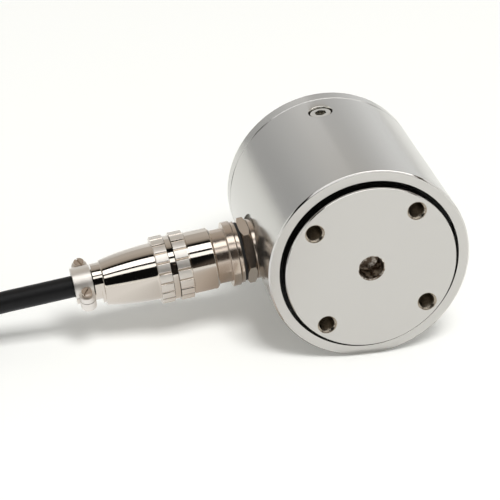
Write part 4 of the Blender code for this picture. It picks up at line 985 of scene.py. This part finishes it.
shape = hexagon(NUT_FLATS, NUT_LOW, NUT_HIGH, NUT_TURN)
nut = placed("hexagon_lock_nut", shape, plug_place, soft_nickel_painted_shade)
reach = corner_radius(NUT_FLATS) + FIT_GAP
drop = (reach - NUT_CHAMFER_RADIUS) * math.tan(NUT_CHAMFER_SLOPE)
blank = [
    (shank_hole, NUT_LOW),
    (NUT_CHAMFER_RADIUS, NUT_LOW),
    (reach, NUT_LOW + drop),
    (reach, NUT_HIGH - drop),
    (NUT_CHAMFER_RADIUS, NUT_HIGH),
    (shank_hole, NUT_HIGH),
]
combine(nut, "nut_blank", spun(blank), plug_place, soft_nickel_painted_shade, "INTERSECT")
finished(nut, "lock_nut", sharp=20.0)

# %% [markdown]
# ## The receptacle and the coupling nut
#
# The receptacle's flange and collar show between the washers and the plug. The coupling nut is a
# plain sleeve with a fluted ring. V-shaped cutters make the flutes, and their lips flare, so that
# the edge of each land comes out round.

# %% Receptacle
FLANGE_LOW = 32.75 * MM
FLANGE_HIGH = 35.0 * MM
FLANGE_RADIUS = 9.05 * MM
COLLAR_RADIUS = 7.55 * MM
BARREL_FRONT = 44.95 * MM
BARREL_BORE = 5.95 * MM
SHANK_BORE = 4.6 * MM
INSERT_BACK = 31.5 * MM
profile = stepped(
    SHANK_BORE, SHANK_END, SHANK_RADIUS, FLANGE_LOW, FLANGE_RADIUS, FLANGE_HIGH,
    COLLAR_RADIUS, BARREL_FRONT, BARREL_BORE, INSERT_BACK, SHANK_BORE,
)
shape = break_edges(spun(profile), width=0.2 * MM)
# The receptacle takes the nickel whose colour is painted darker as painted shade.
receptacle = placed("panel_receptacle", shape, plug_place, soft_nickel_painted_shade)
finished(receptacle, "receptacle_shell")

# %% Flutes
FLUTE_COUNT = 20
FLUTE_TURN = math.radians(2.5)
FLUTE_SECTION = ((-0.45, 0.0), (-0.17, 0.17), (-0.05, 0.31), (0.02, 0.46), (0.40, 0.56))
FLUTE_STEP_RUN = 0.2 * MM
FLUTE_END_RUN = 0.5 * MM


def flutes(radius, low, high):
    """Cutters for the V grooves around a ring."""
    side = [(radius + out * MM, across * MM) for out, across in FLUTE_SECTION]
    outline = side + [(out, -across) for out, across in reversed(side[1:])]
    cutters = []
    for place in on_circle(1.0, FLUTE_COUNT, FLUTE_TURN):
        foot = [(out, across, low) for out, across in outline]
        turn = Matrix.Rotation(math.atan2(place.y, place.x), 4, "Z")
        cutters.append(moved(extruded(foot, (0.0, 0.0, high - low)), turn))
    return joined(cutters)


def paint_ring(shape, radius, low, high):
    """Gives the second finish to the faces beyond a radius, between two heights."""
    for face in shape.faces:
        middle = face.calc_center_median()
        if low <= middle.z <= high and math.hypot(middle.x, middle.y) > radius:
            face.material_index = 1


print("degrees from flute to flute:", 360 / FLUTE_COUNT)

# %% Coupling nut
NUT_SLEEVE_RADIUS = 8.6 * MM
NUT_RING_RADIUS = 9.45 * MM
NUT_BORE = 7.85 * MM
NUT_COLLAR_BORE = 5.95 * MM
NUT_START = 38.75 * MM
NUT_LEAD_IN = 0.6 * MM
NUT_NECK_DEPTH = 0.3 * MM
NUT_NECK_LOW = 45.85 * MM
NUT_RING_LOW = 46.25 * MM
NUT_RING_HIGH = 49.9 * MM
NUT_COLLAR_LOW = 46.9 * MM
PAINT_INSET = 0.05 * MM
neck = NUT_SLEEVE_RADIUS - NUT_NECK_DEPTH
profile = [
    (NUT_BORE, NUT_START),
    (NUT_SLEEVE_RADIUS - NUT_LEAD_IN, NUT_START),
    (NUT_SLEEVE_RADIUS, NUT_START + NUT_LEAD_IN),
]
profile += stepped(
    NUT_SLEEVE_RADIUS, NUT_NECK_LOW, neck, NUT_RING_LOW, NUT_RING_RADIUS, NUT_RING_HIGH,
    NUT_COLLAR_BORE, NUT_COLLAR_LOW, NUT_BORE,
)
shape = break_edges(spun(profile), PLUG_BREAK)
painted = (NUT_RING_LOW + PAINT_INSET, NUT_RING_HIGH - PAINT_INSET)
paint_ring(shape, NUT_SLEEVE_RADIUS, *painted)
coupling = placed("fluted_coupling_nut", shape, plug_place, nickel, satin_nickel)
cutters = flutes(NUT_RING_RADIUS, NUT_RING_LOW - FLUTE_STEP_RUN, NUT_RING_HIGH + FLUTE_END_RUN)
combine(coupling, "flute_bars", cutters, plug_place, nickel)
finished(coupling, "coupling_nut", sharp=40.0)

# %% [markdown]
# ## The plug's own shell
#
# Only a notched flange of the plug's shell shows, between the two fluted rings. A groove in its
# hidden barrel holds the split ring.

# %% Plug shell
PLUG_BORE = 4.65 * MM
PLUG_START = 36.0 * MM
PLUG_BARREL_RADIUS = 5.65 * MM
GROOVE_DEPTH = 0.5 * MM
GROOVE_LOW = 45.6 * MM
GROOVE_HIGH = 46.9 * MM
PLUG_FLANGE_RADIUS = 8.85 * MM
PLUG_FLANGE_LOW = 50.0 * MM
PLUG_FLANGE_HIGH = 51.6 * MM
PLUG_THREAD_RADIUS = 6.8 * MM
PLUG_END = 56.6 * MM
NOTCH_DEPTH = 1.2 * MM
NOTCHES = ((59.5, 1.3), (22.5, 2.6))
groove = PLUG_BARREL_RADIUS - GROOVE_DEPTH
profile = stepped(
    PLUG_BORE, PLUG_START, PLUG_BARREL_RADIUS, GROOVE_LOW, groove, GROOVE_HIGH,
    PLUG_BARREL_RADIUS, PLUG_FLANGE_LOW, PLUG_FLANGE_RADIUS, PLUG_FLANGE_HIGH,
    PLUG_THREAD_RADIUS, PLUG_END, PLUG_BORE,
)
shape = break_edges(spun(profile))
plug_shell = placed("plug_shell_body", shape, plug_place, nickel)
notches = []
for angle, width in NOTCHES:
    low = (PLUG_FLANGE_RADIUS - NOTCH_DEPTH, -width * MM / 2, PLUG_FLANGE_LOW - FIT_GAP)
    high = (PLUG_FLANGE_RADIUS + NOTCH_DEPTH, width * MM / 2, PLUG_FLANGE_HIGH + FIT_GAP)
    notches.append(block(low, high, Matrix.Rotation(math.radians(angle), 4, "Z")))
combine(plug_shell, "notch_tools", joined(notches), plug_place, nickel)
finished(plug_shell, "plug_shell", sharp=35.0)

# %% [markdown]
# ## The back shell
#
# The back shell has its own fluted ring and tapers in a slender ogive to a neck. Its tail is a
# tube on the clamp's axis, opened on one side, with two ears for the clamp's screws.

# %% Back shell section
SHELL_RING_RADIUS = 9.35 * MM
SHELL_RING_LOW = 51.7 * MM
SHELL_RING_HIGH = 55.2 * MM
SHELL_BODY_RADIUS = 7.85 * MM
SHELL_TAIL_RADIUS = 6.25 * MM
SHELL_TAIL = 70.2 * MM
SHELL_BORE = 7.1 * MM
SHELL_BORE_END = 57.2 * MM
SHELL_BORE_CHAMFER = 0.3 * MM
NECK_RADIUS = 5.45 * MM
NECK_END = 71.0 * MM
CAVITY_END = 64.2 * MM
OGIVE_STEPS = 24


def ogive(start, end, front_radius, back_radius):
    """A convex taper that leaves the first radius along the axis."""
    run = end - start
    fall = front_radius - back_radius
    bend = (run * run + fall * fall) / (2 * fall)
    return arc((front_radius - bend, start), bend, 0.0, math.asin(run / bend), OGIVE_STEPS)


profile = stepped(SHELL_BORE, SHELL_RING_LOW, SHELL_RING_RADIUS, SHELL_RING_HIGH)
profile += ogive(SHELL_RING_HIGH, SHELL_TAIL, SHELL_BODY_RADIUS, SHELL_TAIL_RADIUS)
profile += stepped(NECK_RADIUS, SHELL_TAIL)
profile += stepped(NECK_RADIUS, NECK_END, 0.0, CAVITY_END, PLUG_BORE)
profile += [
    (SHELL_BORE - SHELL_BORE_CHAMFER, SHELL_BORE_END),
    (SHELL_BORE, SHELL_BORE_END - SHELL_BORE_CHAMFER),
]
shape = break_edges(spun(profile), PLUG_BREAK)
paint_ring(shape, SHELL_BODY_RADIUS, SHELL_RING_LOW, SHELL_RING_HIGH)
back_shell = placed("ogive_back_shell", shape, plug_place, nickel, satin_nickel)
print("length of the ogive in mm:", round((SHELL_TAIL - SHELL_RING_HIGH) / MM, 2))

# %% [markdown]
# The clamp's two ears are flat bars with round ends, and its screws stand across the cable.

# %% Clamp shapes
EAR_SPAN = 16.0 * MM
EAR_WIDTH = 4.3 * MM
EAR_MIDDLE = 75.25 * MM
EAR_STEPS = 24
JAW_EAR_THICKNESS = 2.7 * MM
SADDLE_EAR_THICKNESS = 1.6 * MM
CLAMP_BREAK = 0.12 * MM
SCREW_PLACES = (-(EAR_SPAN - EAR_WIDTH) / 2, (EAR_SPAN - EAR_WIDTH) / 2)
SCREW_RADIUS = 0.9 * MM


def stadium(low_y, high_y):
    """A flat bar with round ends across the clamp, its edges lightly broken."""
    left, right = SCREW_PLACES
    outline = arc((right, 0.0), EAR_WIDTH / 2, -math.pi / 2, math.pi / 2, EAR_STEPS)
    outline += arc((left, 0.0), EAR_WIDTH / 2, math.pi / 2, 1.5 * math.pi, EAR_STEPS)
    foot = [(x, low_y, EAR_MIDDLE + z) for x, z in outline]
    return break_edges(extruded(foot, (0.0, high_y - low_y, 0.0)), CLAMP_BREAK)


def screw_matrix(x):
    """A frame at one of the clamp's screws, whose z is the clamp's y."""
    return Matrix.Translation((x, 0.0, EAR_MIDDLE)) @ Matrix.Rotation(-math.pi / 2, 4, "X")


def screw_holes(radius, low_y, high_y):
    """Drills for the clamp's two screws."""
    drills = [bar(radius, low_y, high_y, HOLE_STEPS) for _ in SCREW_PLACES]
    return joined([moved(drill, screw_matrix(x)) for drill, x in zip(drills, SCREW_PLACES)])


print("screw spacing in mm:", round((SCREW_PLACES[1] - SCREW_PLACES[0]) / MM, 2))

# %% Tail, jaw and flutes of the back shell
TAIL_RADIUS = 5.05 * MM
JAW_START = 72.7 * MM
CABLE_BORE = 3.3 * MM
PASSAGE_LEAD = 6.0 * MM

beyond_tail = TAIL_END + FIT_GAP
tail = break_edges(bar(TAIL_RADIUS, CABLE_START, TAIL_END), PLUG_BREAK)
combine(back_shell, "tail", tail, clamp_place, nickel, "UNION")
jaw_ear = stadium(-SEAT_GAP - JAW_EAR_THICKNESS, SADDLE_EAR_THICKNESS)
combine(back_shell, "jaw_ear", jaw_ear, clamp_place, satin_nickel, "UNION")
opening = block((-EAR_SPAN, -SEAT_GAP, JAW_START), (EAR_SPAN, EAR_SPAN, beyond_tail))
combine(back_shell, "jaw_opening", opening, clamp_place, nickel)
passage = bar(CABLE_BORE, CABLE_START - PASSAGE_LEAD, beyond_tail)
combine(back_shell, "passage", passage, clamp_place, nickel)
jaw_holes = screw_holes(SCREW_RADIUS + SEAT_GAP, -JAW_EAR_THICKNESS - FIT_GAP, FIT_GAP)
combine(back_shell, "jaw_holes", jaw_holes, clamp_place, nickel)
ends = (SHELL_RING_LOW - FLUTE_END_RUN, SHELL_RING_HIGH + FLUTE_STEP_RUN)
combine(back_shell, "shell_flutes", flutes(SHELL_RING_RADIUS, *ends), plug_place, nickel)
finished(back_shell, "back_shell", sharp=40.0)

# %% [markdown]
# ## The clamp saddle and its screws
#
# The saddle is the loose half of the cable clamp: an arch over the cable with two ears, held by
# two small cheese head screws.

# %% Saddle
HEAD_RADIUS = 1.45 * MM
HEAD_SEAT_SINK = 0.1 * MM

saddle_start = JAW_START + FIT_GAP
below_saddle = saddle_start - FIT_GAP
arch = break_edges(bar(TAIL_RADIUS, saddle_start, TAIL_END), PLUG_BREAK)
saddle = placed("saddle_arch", arch, clamp_place, satin_nickel)
saddle_ear = stadium(-SADDLE_EAR_THICKNESS, SEAT_GAP + SADDLE_EAR_THICKNESS)
combine(saddle, "saddle_ear", saddle_ear, clamp_place, satin_nickel, "UNION")
seat_height = SEAT_GAP + SADDLE_EAR_THICKNESS - HEAD_SEAT_SINK
above_saddle = TAIL_RADIUS + FIT_GAP
saddle_cuts = {
    "parting": block((-EAR_SPAN, -EAR_SPAN, below_saddle), (EAR_SPAN, SEAT_GAP, beyond_tail)),
    "saddle_passage": bar(CABLE_BORE, below_saddle, beyond_tail),
    "saddle_holes": screw_holes(SCREW_RADIUS + SEAT_GAP, -FIT_GAP, above_saddle),
    "head_seats": screw_holes(HEAD_RADIUS + FIT_GAP, seat_height, above_saddle),
}
for name, shape in saddle_cuts.items():
    combine(saddle, name, shape, clamp_place, satin_nickel)
finished(saddle, "clamp_saddle", sharp=35.0)

# %% Clamp screws
HEAD_HEIGHT = 1.4 * MM
SLOT_WIDTH = 0.4 * MM
SLOT_DEPTH = 0.6 * MM
SLOT_TURNS = (math.radians(20.0), math.radians(-35.0))

under_head = seat_height + SEAT_GAP
screw_tip = -SEAT_GAP - JAW_EAR_THICKNESS + FIT_GAP
head_top = under_head + HEAD_HEIGHT
screw_section = stepped(0.0, screw_tip, SCREW_RADIUS, under_head, HEAD_RADIUS, head_top, 0.0)
slot_low = (-2 * HEAD_RADIUS, -SLOT_WIDTH / 2, head_top - SLOT_DEPTH)
slot_high = (2 * HEAD_RADIUS, SLOT_WIDTH / 2, head_top + SLOT_DEPTH)
for index, (x, slot_turn) in enumerate(zip(SCREW_PLACES, SLOT_TURNS), start=1):
    screw_place = clamp_place @ screw_matrix(x)
    shape = break_edges(spun(screw_section, SCREW_STEPS), CLAMP_BREAK)
    screw = placed(f"cheese_head_screw_{index}", shape, screw_place, soft_nickel_painted_shade)
    slot = block(slot_low, slot_high, Matrix.Rotation(slot_turn, 4, "Z"))
    combine(screw, "slot", slot, screw_place, soft_nickel_painted_shade)
    finished(screw, f"clamp_screw_{index}", sharp=35.0)

# %% [markdown]
# ## Pieces that stay as they are
#
# The seal, the gauges, the board, the contacts and the leads are inside the part or very small.
# Their solids are good enough, so they only get their finishes.

# %% Finishes for the inner pieces
kept = {
    "mouth_seal": rubber,
    "hank_tie_1": woven,
    "hank_tie_2": woven,
    "bridge_board": laminate,
    "retaining_ring": nickel,
    "receptacle_insulator": insulator,
    "plug_insulator": insulator,
}
for index in range(1, 5):
    kept[f"strain_gauge_{index}"] = foil
    kept[f"contact_pin_{index}"] = gold
    kept[f"socket_contact_{index}"] = gold
for index, shade in enumerate(core_colours, start=1):
    for name in ("plug_core", "inner_lead", "end_lead"):
        kept[f"{name}_{index}"] = cores[shade]
for name, finish in kept.items():
    nodes[name].data.materials.clear()
    nodes[name].data.materials.append(finish)
print("kept solids:", len(kept))

# %% [markdown]
# ## The floor and the white surround
#
# A product photograph stands on white paper. The floor is pale and still takes the soft shadow.
# A little extra white for the camera and for reflections keeps the paper from looking grey.

# %% Floor
FLOOR_SIZE = 12.0
FLOOR_LIFT = 0.12
PAPER = "#f4f4f1"
SURROUND = "#fffffc"


def empty_tree(owner):
    """The node tree of a new material or world, with nothing in it."""
    owner.use_nodes = True
    owner.node_tree.nodes.clear()
    return owner.node_tree


def seen_directly(tree):
    """1 for rays of the camera, of a mirror or through glass, 0 for rays that light a surface."""
    rays = add_node(tree, "LightPath").outputs
    seen = rays["Is Camera Ray"]
    for kind in ("Is Glossy Ray", "Is Transmission Ray"):
        links = {0: seen, 1: rays[kind]}
        seen = add_node(tree, "Math", {"operation": "MAXIMUM"}, links).outputs[0]
    return seen


floor_mesh = bmesh.new()
bmesh.ops.create_grid(floor_mesh, x_segments=1, y_segments=1, size=FLOOR_SIZE / 2)
floor_paper = bpy.data.materials.new("white_floor_paper")
tree = empty_tree(floor_paper)
lifted = {"operation": "MULTIPLY", 1: FLOOR_LIFT}
lift = add_node(tree, "Math", lifted, {0: seen_directly(tree)})
paper = add_node(tree, "BsdfDiffuse", {"Color": srgb(PAPER)})
glow = add_node(tree, "Emission", {"Color": srgb(SURROUND)}, {"Strength": lift.outputs[0]})
both = add_node(tree, "AddShader", None, {0: paper.outputs[0], 1: glow.outputs[0]})
add_node(tree, "OutputMaterial", None, {"Surface": both.outputs[0]})
floor = placed("paper_floor", floor_mesh, Matrix.Identity(4), floor_paper)
print("floor size in m:", FLOOR_SIZE)

# %% White surround
WORLD_FILL = 0.42
world = bpy.data.worlds.new("white_surround")
bpy.context.scene.world = world
tree = empty_tree(world)
levels = {"To Min": WORLD_FILL, "To Max": 1.0}
level = add_node(tree, "MapRange", levels, {"Value": seen_directly(tree)})
sky = add_node(tree, "Background", {"Color": srgb(SURROUND)}, {"Strength": level.outputs[0]})
add_node(tree, "OutputWorld", None, {"Surface": sky.outputs[0]})
print("fill light from the surround:", WORLD_FILL)

# %% [markdown]
# ## Lamps and cards
#
# Polished metal shows the room, so a photographer builds the room. Two long softboxes draw the
# white bands on the plug, a black card behind them gives the deep dark ones, and a grey wall at
# the back keeps the tube's side mid grey, with soft bands along it. A flat card on the table is
# painted shade: it puts the plug's shadow on the floor into what the plug mirrors from below, and
# a small one paints the contact shadow under the tube into what the tube mirrors. The softboxes
# and the cards only show in reflections. A key lamp from the front and above lights the floor and
# gives the shadow under the plug.

# %% Softboxes
STUDIO_CENTRE = Vector((-0.02, 0.0, 0.025))
LAMP_DISTANCE = 1.50
LAMP_LENGTH = 2.8
LAMP_SHIFT = Vector((0.3, 0.0, 0.0))


def area_lamp(name, length, width, radiance, matrix):
    """A rectangular lamp that the camera doesn't see. Radiance 1 shows as white in a mirror."""
    data = bpy.data.lights.new(name, "AREA")
    data.shape = "RECTANGLE"
    data.size = length
    data.size_y = width
    data.energy = radiance * math.pi * length * width
    lamp = linked(name, data)
    lamp.matrix_world = matrix
    lamp.visible_camera = False
    return lamp


def strip_lamp(name, low_angle, high_angle, radiance):
    """A long softbox along X, seen from the object between two elevations in front."""
    middle = math.radians((low_angle + high_angle) / 2)
    width = 2 * LAMP_DISTANCE * math.tan(math.radians((high_angle - low_angle) / 2))
    direction = Vector((0.0, -math.cos(middle), math.sin(middle)))
    place = Matrix.Translation(STUDIO_CENTRE + LAMP_SHIFT + direction * LAMP_DISTANCE)
    turn = Matrix.Rotation(middle - math.pi / 2, 4, "X")
    lamp = area_lamp(name, LAMP_LENGTH, width, radiance, place @ turn.inverted())
    lamp.visible_diffuse = False
    return lamp


front_strip = strip_lamp("front_softbox", low_angle=45.0, high_angle=58.0, radiance=1.7)
top_strip = strip_lamp("top_softbox", low_angle=66.0, high_angle=88.0, radiance=2.4)
print("lamp watts:", round(front_strip.data.energy, 2), round(top_strip.data.energy, 2))

# %% Key lamp
KEY_DIRECTION = Vector((0.10, -0.48, 0.86)).normalized()
KEY_DISTANCE = 2.6
KEY_SIZE = 0.9
KEY_RADIANCE = 19.5
key_turn = KEY_DIRECTION.to_track_quat("Z", "Y").to_matrix().to_4x4()
key_place = Matrix.Translation(STUDIO_CENTRE + KEY_DIRECTION * KEY_DISTANCE) @ key_turn
front_key = area_lamp("front_key", KEY_SIZE, KEY_SIZE, KEY_RADIANCE, key_place)
front_key.visible_glossy = False
print("key lamp watts:", round(front_key.data.energy, 2))

# %% [markdown]
# The curved cards bend around the X axis, and their edges are elevations in degrees as the object
# sees them. Each card is painted from a list of places in metres along one axis of the room and
# the greys there. The table card is turned, because the camera looks from a little to the left:
# what it sees mirrored in the plug then runs along the card's greys.

# %% Cards
CARD_DISTANCE = 1.65
CARD_LENGTH = 5.0
CARD_STEPS = 24


def card(name, shape, centre, axis, greys):
    """A glowing card that only reflections see, painted in greys along one axis of the room."""
    paint = bpy.data.materials.new(f"{name}_paint")
    tree = empty_tree(paint)
    place = add_node(tree, "TexCoord")
    split = add_node(tree, "SeparateXYZ", None, {0: place.outputs["Object"]})
    first, last = greys[0][0], greys[-1][0]
    ends = {"From Min": first, "From Max": last}
    along = add_node(tree, "MapRange", ends, {"Value": split.outputs[axis]})
    ramp = add_node(tree, "ValToRGB", None, {"Fac": along.outputs["Result"]})
    for point, _ in greys[1:-1]:
        ramp.color_ramp.elements.new((point - first) / (last - first))
    for element, (_, code) in zip(ramp.color_ramp.elements, greys):
        element.color = srgb(code)
    glow = add_node(tree, "Emission", {"Strength": 1.0}, {"Color": ramp.outputs["Color"]})
    add_node(tree, "OutputMaterial", None, {"Surface": glow.outputs[0]})
    piece = placed(name, shape, Matrix.Translation(centre), paint)
    piece.visible_camera = False
    piece.visible_diffuse = False
    piece.visible_transmission = False
    piece.visible_volume_scatter = False
    piece.visible_shadow = False
    return piece


def curved_card(name, low_angle, high_angle, axis, greys):
    """A card bent around the X axis, between two elevations as the object sees them."""
    shape = bmesh.new()
    low = math.radians(low_angle)
    foot = Vector((0.0, -math.cos(low), math.sin(low))) * CARD_DISTANCE
    half = Vector((CARD_LENGTH / 2, 0.0, 0.0))
    ends = [shape.verts.new(foot - half), shape.verts.new(foot + half)]
    edge = shape.edges.new(ends)
    bmesh.ops.spin(
        shape,
        geom=ends + [edge],
        cent=(0.0, 0.0, 0.0),
        axis=(-1.0, 0.0, 0.0),
        angle=math.radians(high_angle - low_angle),
        steps=CARD_STEPS,
    )
    card(name, shape, STUDIO_CENTRE, axis, greys)


def table_card(name, low_corner, high_corner, height, greys, turn=0.0):
    """A flat card just above the floor, turned about the origin with its greys."""
    shape = bmesh.new()
    (x0, y0), (x1, y1) = low_corner, high_corner
    corners = ((x0, y0), (x1, y0), (x1, y1), (x0, y1))
    shape.faces.new([shape.verts.new((x, y, height)) for x, y in corners])
    card(name, shape, Vector(), "X", greys).rotation_euler.z = turn


FRONT_GREYS = ((-2.5, "#101010"), (0.06, "#101010"), (0.10, "#574f48"), (2.5, "#574f48"))
UPPER_GREYS = ((0.85, "#cac7c2"), (1.35, "#cbc5be"), (1.60, "#b8b0a7"), (1.67, "#4a443e"))
LOWER_GREYS = (
    (-2.5, "#d0d0cf"), (-1.15, "#cacac9"), (-0.90, "#b2b2b1"), (-0.60, "#c8c8c7"),
    (-0.30, "#d8d8d7"), (-0.10, "#ececeb"), (0.10, "#f4f4f3"), (0.16, "#d5d5d4"),
    (0.40, "#d2d2d1"), (0.65, "#dededd"), (0.90, "#f2f2f1"), (2.5, "#f2f2f1"),
)
# Painted shadow: the plug's shadow on the floor as the plug mirrors it, darkest at the end
# towards the body.
TABLE_SHADOW_GREYS = (
    (-0.052, "#ffffff"), (-0.046, "#ffffff"), (-0.038, "#f2f2f1"), (-0.030, "#e2e1df"),
    (-0.023, "#d8d2cb"), (-0.017, "#cac0b6"), (-0.012, "#b2a79c"), (-0.004, "#a09488"),
)
# Painted shadow: the contact shadow under the tube, as the tube's lower edge mirrors it.
CONTACT_SHADOW_GREYS = ((-0.009, "#a09488"), (0.0, "#a8a8a4"), (0.050, "#a8a8a4"))
FRONT_LOW = 6.0
FRONT_HIGH = 98.0
WALL_FOLD = 150.0
WALL_FOOT = 179.0
curved_card("black_front_card", FRONT_LOW, FRONT_HIGH, "X", FRONT_GREYS)
curved_card("upper_back_card", FRONT_HIGH, WALL_FOLD, "Z", UPPER_GREYS)
curved_card("lower_back_card", WALL_FOLD, WALL_FOOT, "X", LOWER_GREYS)

TABLE_LOW = (-0.2, -1.5)
TABLE_HIGH = (-0.009, 0.015)
TABLE_HEIGHT = 0.002
TABLE_TURN = math.radians(9.5)
CONTACT_LOW = (-0.009, -0.0275)
CONTACT_HIGH = (0.050, 0.015)
CONTACT_HEIGHT = 0.0005
table_card("painted_shadow_table_card", TABLE_LOW, TABLE_HIGH, TABLE_HEIGHT, TABLE_SHADOW_GREYS, TABLE_TURN)
table_card("painted_contact_shadow_card", CONTACT_LOW, CONTACT_HIGH, CONTACT_HEIGHT, CONTACT_SHADOW_GREYS)
print("cards at", CARD_DISTANCE, "m")
